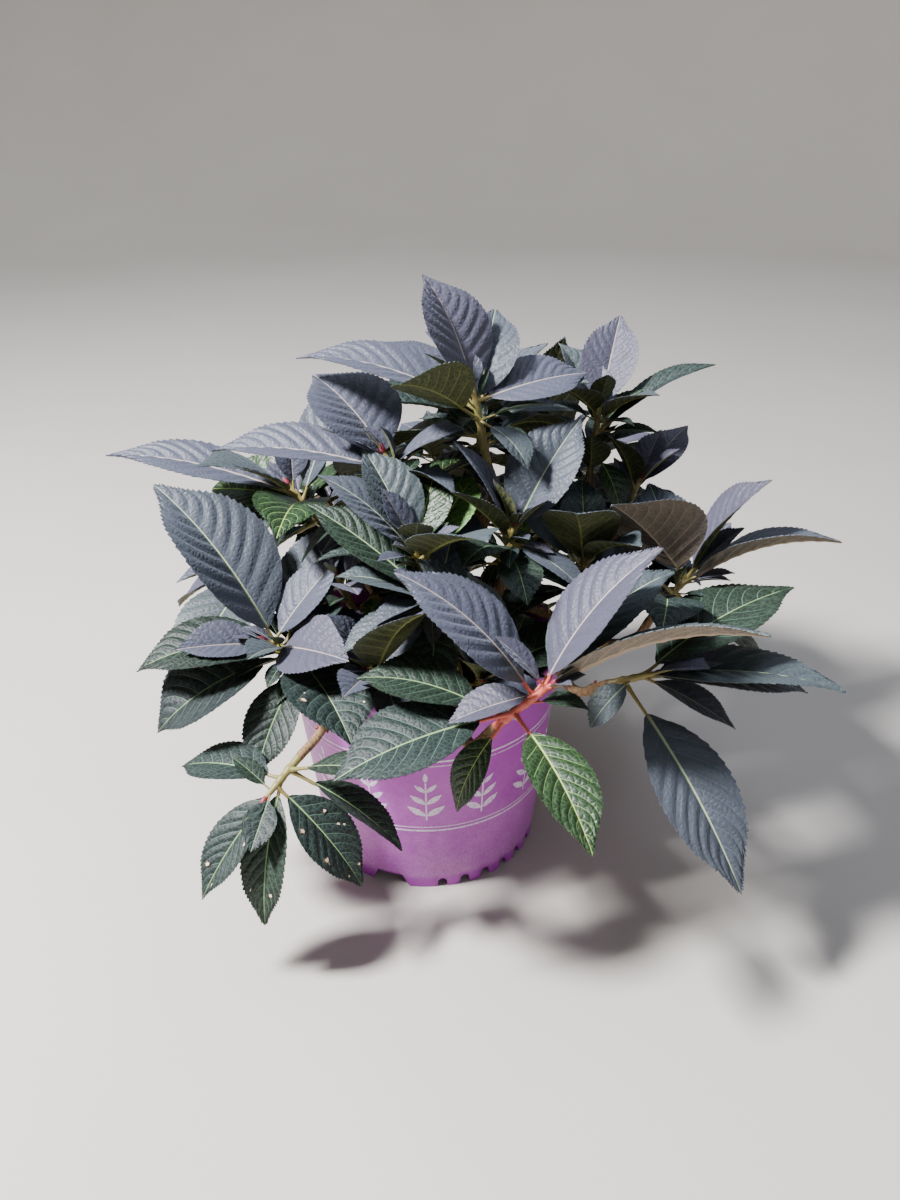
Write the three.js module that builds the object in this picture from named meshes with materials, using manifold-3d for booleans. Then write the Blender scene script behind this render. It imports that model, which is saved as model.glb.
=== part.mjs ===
// A potted hydrangea shrub, in millimetres, Z up, standing on Z = 0 with the pot's axis on the origin.
// Twelve canes rise from the potting mix, branch, and end in leafy shoots whose leaves grow in crossed pairs.
import * as THREE from "three";
import { mergeVertices } from "three/addons/utils/BufferGeometryUtils.js";
import Module from "manifold-3d";

const wasm = await Module();
wasm.setup();

const Z = new THREE.Vector3(0, 0, 1);
const CLEARANCE = 0.3;

// Pot: a moulded grower's pot with a stepped rim band and a castellated foot
const POT = {
  height: 183,
  footRadius: 88,
  neckRadius: 107,
  bandRadius: 110.5,
  bandHeight: 14,
  lipHeight: 5,
  lipRadius: 109,
  wall: 2.2,
  floorTop: 12,
  floorUnder: 9.5,
  padRadius: 30,
  facets: 42,
};
const NOTCH = { width: 7.5, height: 7.5, step: 12, count: 30, reach: 4.5, first: -83, foot: 8 };
const DRAIN_ARCH = { halfAngle: 11, height: 13.5, count: 3, towards: -110.5 };

// Potting mix fills the pot to a little under its rim
const MIX_TOP = 165;

// Leaves of a full-grown pair, and how they change from the growing tip down the shoot
const REACH = 138;
const BREADTH = 0.6;
const PETIOLE = { foot: 4, youngShare: 0.07, oldShare: 0.16, oldFrom: 4, radius: 1.5 };
// Pair 0 is still folded in the bud, so the solids start at the pair below it
const FIRST_PAIR = 1;
const PAIR_DROP = [2, 5, 10, 16, 24, 36, 44, 58];
const PAIR_SIZE = [0.22, 0.45, 0.8, 1.0, 0.95, 0.85, 0.8, 0.7];
const PAIR_OPEN = [12, 30, 50, 68, 82, 95, 104, 110];
const PAIR_BEND = [6, 16, 26, 34, 40, 44, 44, 44];
const LEAF_SAG = 8;
const ROOT_START = 0.4;
const FOLD = 15;
const THICKNESS_SHARE = 0.014;
const STATIONS = [
  { upTo: 55, shares: [0.06, 0.5] },
  { upTo: 92, shares: [0.05, 0.33, 0.72] },
  { upTo: Infinity, shares: [0.04, 0.26, 0.58, 0.85] },
];
const BLADE_STEPS = 24;
const LOWEST_LEAF = 4;

// Stems: radius at a shoot's tip and foot, and at a cane's foot
const SHOOT_TIP_RADIUS = 1.6;
const SHOOT_FOOT_RADIUS = 3.1;
const SHOOT_TAIL = 12;
const CANE_FOOT_RADIUS = 5;
const BRANCH_FOOT_RADIUS = 3.4;
const BRANCH_GAP = 0.4;
const STEM_SIDES = 5;
const CANE_SIDES = 6;
const CANE_STEPS = 7;
const BRANCH_STEPS = 6;

// Each shoot: its growing tip, the way it leans (azimuth, elevation), the turn of its first pair, the
// size and number of its pairs, and the leaves that stand in a way of their own, as
// pair and side: [azimuth, pitch, reach, breadth, twist].
const SHOOTS = {
  crown_top: {
    tip: [40, 0, 382], lean: [150, 78], turn: 0, size: 0.85, pairs: 7,
    own: {
      "1a": [-160, 42, 50], "2a": [131, 57, 94, 0.72], "2b": [19, 5, 88, 0.6, 22],
      "3a": [73, 48, 84, 0.6], "3b": [170, 13, 132, 0.4, -8], "4a": [-145, 26, 84, 0.85, 36],
      "4b": [-50, -26, 56, 0.6], "5a": [31, -12, 76, 0.5], "6b": [100, -30, 40],
    },
  },
  upper_left: {
    tip: [-24, -10, 338], lean: [165, 60], turn: 20, size: 0.85, pairs: 6,
    own: {
      "1a": [120, 20, 30], "2a": [143, 36, 88, 0.95], "2b": [-20, 30, 62], "3a": [173, 4, 134, 0.4, -10],
      "3b": [-30, -10, 50],
    },
  },
  upper_right: {
    tip: [142, 80, 342], lean: [60, 75], turn: 30, size: 0.62, pairs: 7,
    own: {
      "2a": [64, 52, 84], "2b": [-131, 34, 62], "3a": [120, 62, 72], "3b": [-38, 31, 62],
      "4a": [7, 27, 104, 0.36, 0], "4b": [10, 55, 60], "5a": [-60, -50, 58],
    },
  },
  left: {
    tip: [-114, -60, 213], lean: [-158, 38], turn: 80, size: 0.9, pairs: 6,
    own: {
      "1a": [30, 42, 80], "1b": [-160, 6, 68, 0.6, -25], "2a": [150, 46, 144],
      "2b": [-47, 11, 78, 0.75, 30], "3a": [65, 44, 112], "3b": [-100, 12, 52],
      "4a": [-50, -6, 102, 0.8], "4b": [-159, -27, 112, 0.75], "5a": [-115, -48, 92, 0.52],
      "5b": [-168, 7, 120, 0.6],
    },
  },
  low_left: {
    tip: [-108, -150, 141], lean: [-130, -25], turn: 40, size: 0.7, pairs: 5,
    own: {
      "1a": [150, 28, 36], "2a": [-25, -49, 92, 0.55], "2b": [-143, -47, 92, 0.44],
      "3a": [-107, -55, 100, 0.36], "3b": [146, -2, 85, 0.55], "4a": [-15, -36, 96, 0.42],
      "4b": [-26, 12, 84, 0.5],
    },
  },
  front: {
    tip: [85, -160, 234], lean: [-20, 47], turn: 100, size: 0.85, pairs: 7,
    own: {
      "1a": [165, 45, 48], "1b": [-50, 30, 26], "2a": [15, 50, 118], "2b": [-170, -15, 62],
      "3a": [165, 40, 118], "3b": [-6, 22, 150, 0.32, -30], "4a": [30, 28, 130], "4b": [-10, -5, 40],
      "5a": [-160, -12, 124, 0.62], "5b": [-67, -20, 112, 0.45], "6a": [-150, -61, 72, 0.5],
    },
  },
  right: {
    tip: [205, -20, 245], lean: [20, 45], turn: 60, size: 0.85, pairs: 6,
    own: {
      "2a": [-20, 58, 98, 0.66], "2b": [-175, 44, 92, 1, 50], "3a": [-12, 23, 115, 0.5, -20],
      "3b": [100, 30, 95],
    },
  },
  right_low: {
    tip: [164, -100, 204], lean: [-20, 25], turn: 50, size: 0.9, pairs: 5,
    own: {
      "2a": [21, 22, 124, 0.75], "2b": [-30, -18, 72, 0.5], "3a": [-15, 4, 138, 0.45],
      "3b": [-150, -45, 46], "4a": [-12, -16, 130, 0.45], "4b": [-62, -38, 160, 0.4],
    },
  },
  centre: {
    tip: [-5, -60, 290], lean: [-150, 72], turn: 90, size: 0.7, pairs: 6,
    own: { "2a": [110, 47, 84], "2b": [71, 41, 70] },
  },
  centre_front: {
    tip: [7, -82, 262], lean: [-110, 60], turn: 90, size: 0.62, pairs: 5,
    own: {
      "2a": [155, 29, 112, 0.42], "2b": [-150, -10, 50], "3a": [-160, -6, 74, 0.45], "3b": [175, 15, 70],
    },
  },
  centre_right: {
    tip: [68, -40, 292], lean: [-60, 72], turn: 50, size: 0.75, pairs: 6,
    own: {
      "2a": [30, 47, 96, 0.62, 25], "2b": [133, 35, 80], "3a": [-148, 53, 72, 0.5], "3b": [-35, -20, 64],
      "4a": [-82, -12, 64], "4b": [-120, 11, 70, 0.6],
    },
  },
  centre_low: {
    tip: [42, -95, 198], lean: [-80, 42], turn: 30, size: 0.7, pairs: 5,
    own: { "2a": [165, 26, 100, 0.72], "2b": [-50, 10, 60], "3a": [-130, -8, 84, 0.7] },
  },
  rim_left: {
    tip: [-38, -92, 206], lean: [-130, 40], turn: 60, size: 0.85, pairs: 4,
    own: { "2a": [175, 20, 84, 0.7], "3a": [-60, -30, 60], "3b": [20, 16, 92] },
  },
  hollow_left: {
    tip: [-62, -38, 255], lean: [-170, 70], turn: 15, size: 0.72, pairs: 5,
    own: { "3a": [-140, 10, 86], "4a": [-120, -20, 36] },
  },
  middle_right: {
    tip: [128, -10, 258], lean: [0, 70], turn: 30, size: 0.72, pairs: 6,
    own: { "2a": [91, 39, 68], "2b": [-60, 30, 70] },
  },
  left_back: {
    tip: [-105, 60, 286], lean: [160, 50], turn: 10, size: 0.85, pairs: 6,
    own: { "2a": [178, 12, 150, 0.34, -10], "3a": [155, -5, 90, 0.75, -25] },
  },
  right_back: {
    tip: [174, 62, 285], lean: [40, 55], turn: 70, size: 0.75, pairs: 6,
    own: { "2a": [40, 32, 72], "2b": [-140, 20, 60], "3b": [0, -20, 50] },
  },
  top_back: {
    tip: [50, 92, 352], lean: [80, 65], turn: 30, size: 0.85, pairs: 6,
    own: { "2a": [70, 14, 78] },
  },
  back_left: { tip: [-95, 135, 262], lean: [135, 45], turn: 0, size: 0.9, pairs: 6, own: {} },
  back: { tip: [10, 165, 285], lean: [95, 50], turn: 45, size: 0.9, pairs: 6, own: {} },
  back_right: { tip: [120, 160, 262], lean: [50, 45], turn: 20, size: 0.9, pairs: 6, own: {} },
  side_left: { tip: [-150, 40, 226], lean: [175, 18], turn: 60, size: 0.8, pairs: 4, own: {} },
  back_low_left: { tip: [-80, 175, 205], lean: [118, 20], turn: 10, size: 0.85, pairs: 4, own: {} },
  back_low: { tip: [45, 195, 200], lean: [80, 20], turn: 60, size: 0.85, pairs: 4, own: {} },
  back_low_right: { tip: [165, 120, 208], lean: [35, 20], turn: 30, size: 0.85, pairs: 4, own: {} },
};

// Canes stand in the mix at foot [x, y], pass their way points and carry the shoot they are named for.
const CANES = {
  crown_top: { foot: [6, 12], way: [] },
  upper_left: { foot: [-14, 4], way: [] },
  upper_right: { foot: [34, 24], way: [] },
  left: { foot: [-34, -14], way: [] },
  rim_left: { foot: [-14, -34], way: [] },
  centre_low: { foot: [8, -52], way: [] },
  front: { foot: [20, -32], way: [[24, -88, 204]] },
  right: { foot: [42, -4], way: [] },
  right_low: { foot: [36, -26], way: [[88, -56, 200]] },
  left_back: { foot: [-30, 24], way: [] },
  back: { foot: [4, 40], way: [] },
  centre_right: { foot: [14, -10], way: [] },
};

// Branches leave their cane at one of its steps, counted from its foot.
const BRANCHES = {
  top_back: { cane: "crown_top", step: 4, way: [] },
  centre: { cane: "upper_left", step: 3, way: [] },
  hollow_left: { cane: "upper_left", step: 2, way: [] },
  right_back: { cane: "upper_right", step: 4, way: [] },
  back_right: { cane: "upper_right", step: 3, way: [] },
  back_low_right: { cane: "upper_right", step: 1, way: [[108, 80, 206]] },
  low_left: { cane: "left", step: 3, way: [[-66, -96, 191]] },
  side_left: { cane: "left_back", step: 3, way: [] },
  middle_right: { cane: "right", step: 3, way: [] },
  back_left: { cane: "left_back", step: 4, way: [] },
  back_low_left: { cane: "back", step: 3, way: [[-40, 108, 214]] },
  back_low: { cane: "back", step: 4, way: [[30, 126, 216]] },
  centre_front: { cane: "centre_right", step: 3, way: [] },
};

// How a leaf that would touch something turns aside or lifts, in degrees, tried in this order
const TURNS_ASIDE = [
  [0, 0], [0, 8], [0, -8], [10, 0], [-10, 0], [10, 8], [-10, 8], [10, -8], [-10, -8],
  [0, 16], [0, -16], [20, 0], [-20, 0], [20, 12], [-20, 12], [0, 26], [30, 8], [-30, 8],
  [0, 38], [40, 0], [-40, 0], [35, 24], [-35, 24], [50, 12], [-50, 12],
];
const DRAWN_IN = [1, 0.82, 0.66];
const TWIST = 12;
const KEPT_CLEAR = 1.2;

const radians = THREE.MathUtils.degToRad;
const degrees = THREE.MathUtils.radToDeg;

// A repeatable share between 0 and 1 for a set of whole numbers
function chance(...keys) {
  const sum = keys.reduce((total, key, i) => total + key * (12.9898 + 65.2331 * i), 0.37);
  const wide = Math.sin(sum) * 43758.5453;
  return wide - Math.floor(wide);
}

// The unit direction of an azimuth and an elevation
function heading(azimuth, elevation) {
  const level = Math.cos(radians(elevation));
  return new THREE.Vector3(
    Math.cos(radians(azimuth)) * level,
    Math.sin(radians(azimuth)) * level,
    Math.sin(radians(elevation)),
  );
}

function along(point, direction, distance) {
  return point.clone().addScaledVector(direction, distance);
}

// A closed geometry as a solid that can be joined and cut
function solidFrom(geometry) {
  const bare = geometry.clone().deleteAttribute("normal").deleteAttribute("uv");
  const merged = mergeVertices(bare, 1e-4);
  const index = merged.index.array;
  const kept = [];
  for (let i = 0; i < index.length; i += 3) {
    const [a, b, c] = index.subarray(i, i + 3);
    if (a !== b && b !== c && c !== a) kept.push(a, b, c);
  }
  return new wasm.Manifold(
    new wasm.Mesh({
      numProp: 3,
      vertProperties: new Float32Array(merged.attributes.position.array),
      triVerts: new Uint32Array(kept),
    }),
  );
}

function solidOf(points, faces) {
  const geometry = new THREE.BufferGeometry();
  const flat = points.flatMap((p) => [p.x, p.y, p.z]);
  geometry.setAttribute("position", new THREE.Float32BufferAttribute(flat, 3));
  geometry.setIndex(faces.flat());
  return solidFrom(geometry);
}

function geometryFrom(solid) {
  const mesh = solid.getMesh();
  const geometry = new THREE.BufferGeometry();
  geometry.setAttribute("position", new THREE.BufferAttribute(mesh.vertProperties, 3));
  geometry.setIndex(new THREE.BufferAttribute(mesh.triVerts, 1));
  geometry.computeVertexNormals();
  return geometry;
}

// A closed round limb along a list of places, with a radius at each. Its ends are cut square to the
// directions it sets out and arrives in.
function limb(places, radii, sides, setOut, arrive) {
  const points = [];
  const faces = [];
  let across = new THREE.Vector3(1, 0, 0);
  places.forEach((place, i) => {
    let forward = setOut;
    if (i === places.length - 1) forward = arrive;
    else if (i > 0) forward = places[i + 1].clone().sub(places[i - 1]).normalize();
    across = along(across, forward, -across.dot(forward)).normalize();
    const up = forward.clone().cross(across);
    for (let k = 0; k < sides; k++) {
      const angle = (2 * Math.PI * k) / sides;
      const spoke = along(across.clone().multiplyScalar(Math.cos(angle)), up, Math.sin(angle));
      points.push(along(place, spoke, radii[i]));
    }
  });
  const last = (places.length - 1) * sides;
  for (let i = 0; i < last; i += sides) {
    for (let k = 0; k < sides; k++) {
      const next = (k + 1) % sides;
      faces.push([i + k, i + next, i + sides + next], [i + k, i + sides + next, i + sides + k]);
    }
  }
  for (let k = 1; k < sides - 1; k++) {
    faces.push([0, k + 1, k], [last, last + k, last + k + 1]);
  }
  return solidOf(points, faces);
}

// Width of a leaf's half blade at a share of its length, 1 at its widest
function bladeWidth(share) {
  const widest = 0.9 / (0.9 + 1.05);
  const peak = widest ** 0.9 * (1 - widest) ** 1.05;
  return (share ** 0.9 * (1 - share) ** 1.05) / peak;
}

// Where a leaf's blade runs: its place, forward and upper directions at each wanted share of its length
function bladeLine(leaf, shares) {
  const out = heading(leaf.azimuth, 0);
  const pitch = radians(leaf.pitch + 0.42 * leaf.bend);
  const forward = along(out.clone().multiplyScalar(Math.cos(pitch)), Z, Math.sin(pitch));
  const upper = along(out.clone().multiplyScalar(-Math.sin(pitch)), Z, Math.cos(pitch));
  upper.applyAxisAngle(forward, radians(leaf.twist));
  const left = upper.clone().cross(forward);
  const turned = (share) => {
    const angle = -radians(leaf.bend) * share ** 1.2;
    return {
      forward: along(forward.clone().multiplyScalar(Math.cos(angle)), upper, Math.sin(angle)),
      upper: along(forward.clone().multiplyScalar(-Math.sin(angle)), upper, Math.cos(angle)),
    };
  };
  const places = [along(leaf.root, forward, leaf.petiole)];
  for (let i = 0; i < BLADE_STEPS; i++) {
    places.push(along(places[i], turned((i + 0.5) / BLADE_STEPS).forward, leaf.length / BLADE_STEPS));
  }
  return shares.map((share) => {
    const step = Math.min(Math.floor(share * BLADE_STEPS), BLADE_STEPS - 1);
    const place = places[step].clone().lerp(places[step + 1], share * BLADE_STEPS - step);
    return { place, left, ...turned(share) };
  });
}

// A leaf's solid: a square petiole that opens into a folded blade, thick at the midrib and sharp at the
// edges. A margin above 0 makes it that much wider and thicker.
function leafSolid(leaf, margin, withPetiole) {
  const shares = [...STATIONS.find(({ upTo }) => leaf.reach < upTo).shares, 1];
  const line = bladeLine(leaf, shares);
  const fold = radians(leaf.fold);
  const thick = THICKNESS_SHARE * leaf.length;
  const points = [];
  const first = line[0];
  if (withPetiole) {
    const start = along(leaf.root, first.forward, ROOT_START);
    const r = PETIOLE.radius + margin;
    points.push(along(start, first.left, r), along(start, first.upper, r));
    points.push(along(start, first.left, -r), along(start, first.upper, -r));
  }
  line.slice(0, -1).forEach((at, i) => {
    const half = (bladeWidth(shares[i]) * leaf.breadth * leaf.length) / 2 + margin;
    const rise = half * Math.sin(fold);
    const wide = half * Math.cos(fold);
    points.push(along(along(at.place, at.left, wide), at.upper, rise));
    points.push(along(at.place, at.upper, margin));
    points.push(along(along(at.place, at.left, -wide), at.upper, rise));
    points.push(along(at.place, at.upper, -thick - margin));
  });
  const end = line[line.length - 1];
  points.push(along(end.place, end.forward, margin));
  const faces = [];
  const quad = (a, b, c, d) => faces.push([a, b, c], [a, c, d]);
  const rings = (points.length - 1) / 4;
  quad(1, 0, 3, 2);
  for (let i = 0; i < rings - 1; i++) {
    const [l, t, r, b] = [4 * i, 4 * i + 1, 4 * i + 2, 4 * i + 3];
    quad(t, t + 4, l + 4, l);
    quad(b, l, l + 4, b + 4);
    quad(t, r, r + 4, t + 4);
    quad(b, b + 4, r + 4, r);
  }
  const [l, t, r, b] = [0, 1, 2, 3].map((k) => 4 * (rings - 1) + k);
  const tip = points.length - 1;
  faces.push([t, tip, l], [b, l, tip], [t, r, tip], [b, tip, r]);
  return solidOf(points, faces);
}

function lathe(profile) {
  const points = profile.map(([r, z]) => new THREE.Vector2(r, z));
  return solidFrom(new THREE.LatheGeometry(points, POT.facets).rotateX(Math.PI / 2));
}

// Outer radius of the pot's tapering wall at a height
function wallRadius(height) {
  const share = height / (POT.height - POT.bandHeight);
  return POT.footRadius + (POT.neckRadius - POT.footRadius) * share;
}

// A cutter through the wall: an upright opening with a rounded top, centred on an azimuth
function archCutter(azimuth, width, height, round) {
  const outline = new THREE.Shape();
  outline.moveTo(-width / 2, -1).lineTo(width / 2, -1);
  outline.absarc(width / 2 - round, height - round, round, 0, Math.PI / 2);
  outline.absarc(-width / 2 + round, height - round, round, Math.PI / 2, Math.PI);
  const geometry = new THREE.ExtrudeGeometry(outline, {
    depth: 2 * NOTCH.reach,
    bevelEnabled: false,
    curveSegments: 1,
  });
  const outward = heading(azimuth, 0);
  const place = new THREE.Matrix4().makeBasis(Z.clone().cross(outward), Z, outward);
  place.setPosition(outward.clone().multiplyScalar(POT.footRadius - NOTCH.reach));
  return solidFrom(geometry.applyMatrix4(place));
}

function potSolid() {
  const neck = POT.height - POT.bandHeight;
  const inner = (height) => wallRadius(height) - POT.wall;
  const body = lathe([
    [0, 0],
    [POT.padRadius, 0],
    [POT.padRadius, POT.floorUnder],
    [inner(POT.floorUnder), POT.floorUnder],
    [inner(0), 0],
    [POT.footRadius, 0],
    [POT.neckRadius, neck],
    [POT.bandRadius, neck],
    [POT.bandRadius, POT.height - POT.lipHeight],
    [POT.lipRadius, POT.height],
    [POT.lipRadius - POT.wall, POT.height],
    [inner(neck), neck],
    [inner(POT.floorTop), POT.floorTop],
    [0, POT.floorTop],
  ]);
  const third = 360 / DRAIN_ARCH.count;
  const fromArch = (azimuth) => {
    const turn = THREE.MathUtils.euclideanModulo(azimuth - DRAIN_ARCH.towards + third / 2, third);
    return Math.abs(turn - third / 2);
  };
  let pot = body;
  for (let i = 0; i < DRAIN_ARCH.count; i++) {
    const width = 2 * POT.footRadius * Math.sin(radians(DRAIN_ARCH.halfAngle));
    const azimuth = DRAIN_ARCH.towards + i * third;
    pot = pot.subtract(archCutter(azimuth, width, DRAIN_ARCH.height, DRAIN_ARCH.height / 2));
  }
  for (let i = 0; i < NOTCH.count; i++) {
    const azimuth = NOTCH.first + i * NOTCH.step;
    if (fromArch(azimuth) > DRAIN_ARCH.halfAngle + NOTCH.foot) {
      pot = pot.subtract(archCutter(azimuth, NOTCH.width, NOTCH.height, NOTCH.width / 2));
    }
  }
  return pot;
}

function mixSolid() {
  const floor = POT.floorTop + CLEARANCE;
  const edge = (height) => wallRadius(height) - POT.wall - CLEARANCE;
  return lathe([
    [0, floor],
    [edge(floor), floor],
    [edge(MIX_TOP), MIX_TOP],
    [0, MIX_TOP],
  ]);
}

// Where a shoot's stem stands: its foot, its growing tip and the direction between them
function shootStem(shoot) {
  const axis = heading(...shoot.lean);
  const tip = new THREE.Vector3(...shoot.tip);
  const foot = along(tip, axis, -PAIR_DROP[shoot.pairs - 1] - SHOOT_TAIL);
  return { axis, tip, foot };
}

// A limb's course from its start to just short of the foot of the shoot that it carries
function limbCourse(start, setOut, way, stem) {
  const end = along(stem.foot, stem.axis, -CLEARANCE);
  const lead = Math.min(25, start.distanceTo(end) / 4);
  const curve = new THREE.CatmullRomCurve3([
    start,
    along(start, setOut, lead),
    ...way.map((place) => new THREE.Vector3(...place)),
    along(end, stem.axis, -lead),
    end,
  ]);
  return { curve, setOut, arrive: stem.axis };
}

function limbSolid(course, footRadius, steps) {
  const radii = [];
  for (let i = 0; i <= steps; i++) {
    radii.push(THREE.MathUtils.lerp(footRadius, SHOOT_FOOT_RADIUS, i / steps));
  }
  const places = course.curve.getPoints(steps);
  return limb(places, radii, CANE_SIDES, course.setOut, course.arrive);
}

function caneCourse(name) {
  const { foot, way } = CANES[name];
  const start = new THREE.Vector3(foot[0], foot[1], MIX_TOP + CLEARANCE);
  return limbCourse(start, Z, way, shootStem(SHOOTS[name]));
}

// A branch sets out square to its cane, on the side that faces the shoot it carries.
function branchCourse(name, canes) {
  const { cane, step, way } = BRANCHES[name];
  const at = step / CANE_STEPS;
  const { curve } = canes[cane];
  const stem = shootStem(SHOOTS[name]);
  const joint = curve.getPoint(at);
  const run = curve.getTangent(at);
  const aim = (way.length ? new THREE.Vector3(...way[0]) : stem.foot).clone().sub(joint);
  const setOut = along(aim, run, -aim.dot(run)).normalize();
  const caneRadius = THREE.MathUtils.lerp(CANE_FOOT_RADIUS, SHOOT_FOOT_RADIUS, at);
  return limbCourse(along(joint, setOut, caneRadius + BRANCH_GAP), setOut, way, stem);
}

// The leaves of one shoot before anything is turned aside, from its growing tip down
function leavesOf(name, index) {
  const shoot = SHOOTS[name];
  const stem = shootStem(shoot);
  const across = Z.clone().cross(stem.axis).normalize();
  const over = stem.axis.clone().cross(across);
  const leaves = [];
  for (let pair = FIRST_PAIR; pair < shoot.pairs; pair++) {
    for (let side = 0; side < 2; side++) {
      const vary = (draw) => 2 * chance(index, pair, side, draw) - 1;
      const around = radians(shoot.turn + 90 * pair + 180 * side + 14 * vary(1));
      const spoke = along(across.clone().multiplyScalar(Math.cos(around)), over, Math.sin(around));
      const open = radians(PAIR_OPEN[pair] + 9 * vary(2));
      const out = along(stem.axis.clone().multiplyScalar(Math.cos(open)), spoke, Math.sin(open));
      const ruled = [
        degrees(Math.atan2(out.y, out.x)),
        degrees(Math.asin(out.z)) - LEAF_SAG,
        REACH * shoot.size * PAIR_SIZE[pair] * (1 + 0.1 * vary(3)),
      ];
      const own = shoot.own[pair + "ab"[side]];
      const [azimuth, pitch, reach, breadth = BREADTH, twist = TWIST * vary(6)] = own ?? ruled;
      leaves.push({
        shoot: name,
        own: Boolean(own),
        root: along(stem.tip, stem.axis, -PAIR_DROP[pair]),
        petioleShare: pair < PETIOLE.oldFrom ? PETIOLE.youngShare : PETIOLE.oldShare,
        azimuth,
        pitch,
        reach,
        breadth,
        bend: PAIR_BEND[pair] * (1 + 0.35 * vary(4)),
        fold: FOLD + 7 * vary(5),
        twist,
      });
    }
  }
  return leaves;
}

// The leaf turned aside, lifted and drawn in by the given amounts
function turnedLeaf(leaf, aside, lift, share) {
  const reach = leaf.reach * share;
  const petiole = PETIOLE.foot + leaf.petioleShare * reach;
  return {
    ...leaf,
    azimuth: leaf.azimuth + aside,
    pitch: leaf.pitch + lift,
    petiole,
    length: (reach - petiole) * (1 + 0.0018 * leaf.bend),
  };
}

function boxOf(solid) {
  const { min, max } = solid.boundingBox();
  return new THREE.Box3(new THREE.Vector3(...min), new THREE.Vector3(...max));
}

function touches(solid, box, others) {
  return others.some((o) => o.box.intersectsBox(box) && !solid.intersect(o.solid).isEmpty());
}

// Finds the first way to turn a leaf that keeps it clear of the limbs, the pot and every other leaf
function fittedLeaf(leaf, limbs, grown) {
  const others = [...limbs.filter((o) => o.shoot !== leaf.shoot)];
  others.push(...grown.filter((o) => o.shoot !== leaf.shoot));
  const mates = grown.filter((o) => o.shoot === leaf.shoot).map((o) => o.blade);
  mates.push(...limbs.filter((o) => o.shoot === leaf.shoot));
  for (const share of DRAWN_IN) {
    for (const [aside, lift] of TURNS_ASIDE) {
      const tried = turnedLeaf(leaf, aside, lift, share);
      const whole = leafSolid(tried, KEPT_CLEAR, true);
      const box = boxOf(whole);
      if (box.min.z < LOWEST_LEAF || touches(whole, box, others)) continue;
      const blade = leafSolid(tried, CLEARANCE, false);
      if (touches(blade, boxOf(blade), mates)) continue;
      const solid = leafSolid(tried, 0, true);
      const bare = leafSolid(tried, 0, false);
      return {
        shoot: leaf.shoot,
        solid,
        box: boxOf(solid),
        blade: { solid: bare, box: boxOf(bare) },
      };
    }
  }
  return null;
}

function shootStemSolid(name) {
  const { axis, tip, foot } = shootStem(SHOOTS[name]);
  return limb([foot, tip], [SHOOT_FOOT_RADIUS, SHOOT_TIP_RADIUS], STEM_SIDES, axis, axis);
}

const FINISHES = {
  pot: new THREE.MeshStandardMaterial({ color: "#9a3c9c", roughness: 0.5 }),
  mix: new THREE.MeshStandardMaterial({ color: "#46362a", roughness: 1 }),
  cane: new THREE.MeshStandardMaterial({ color: "#8c6e4c", roughness: 0.85 }),
  shoot: new THREE.MeshStandardMaterial({ color: "#4b5763", roughness: 0.6 }),
};

function part(name, solid, finish) {
  const mesh = new THREE.Mesh(geometryFrom(solid), FINISHES[finish]);
  mesh.name = name;
  return mesh;
}

function build() {
  const potted = new THREE.Group();
  const limbGroup = new THREE.Group();
  const foliage = new THREE.Group();
  const pot = potSolid();
  const mix = mixSolid();
  potted.add(part("pot", pot, "pot"), part("potting_mix", mix, "mix"));

  const limbs = [pot, mix].map((solid) => ({ solid, box: boxOf(solid), shoot: "" }));
  const keep = (solid, shoot) => limbs.push({ solid, box: boxOf(solid), shoot });
  const canes = {};
  for (const name of Object.keys(CANES)) {
    canes[name] = caneCourse(name);
    const solid = limbSolid(canes[name], CANE_FOOT_RADIUS, CANE_STEPS);
    keep(solid, "");
    limbGroup.add(part("cane_" + name, solid, "cane"));
  }
  for (const name of Object.keys(BRANCHES)) {
    const solid = limbSolid(branchCourse(name, canes), BRANCH_FOOT_RADIUS, BRANCH_STEPS);
    keep(solid, "");
    limbGroup.add(part("branch_" + name, solid, "cane"));
  }

  const stems = {};
  const leaves = [];
  Object.keys(SHOOTS).forEach((name, index) => {
    stems[name] = shootStemSolid(name);
    keep(stems[name], name);
    leaves.push(...leavesOf(name, index + 1));
  });
  const grown = [];
  for (const wanted of [true, false]) {
    for (const leaf of leaves.filter((l) => l.own === wanted)) {
      const fitted = fittedLeaf(leaf, limbs, grown);
      if (fitted) grown.push(fitted);
    }
  }
  for (const name of Object.keys(SHOOTS)) {
    let solid = stems[name];
    for (const leaf of grown.filter((l) => l.shoot === name)) solid = solid.add(leaf.solid);
    foliage.add(part("shoot_" + name, solid, "shoot"));
  }

  const shrub = new THREE.Group();
  shrub.add(potted, limbGroup, foliage);
  return shrub;
}

export default build();
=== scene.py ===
"""A potted hydrangea shrub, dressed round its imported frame.

Lengths are in millimetres until a mesh is made.
"""
import logging
import math
from dataclasses import dataclass, field, replace
from enum import Enum
from typing import Iterable, Optional, Sequence, Union

import bpy
import numpy as np
from mathutils import Matrix, Vector
from mathutils.bvhtree import BVHTree


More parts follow.
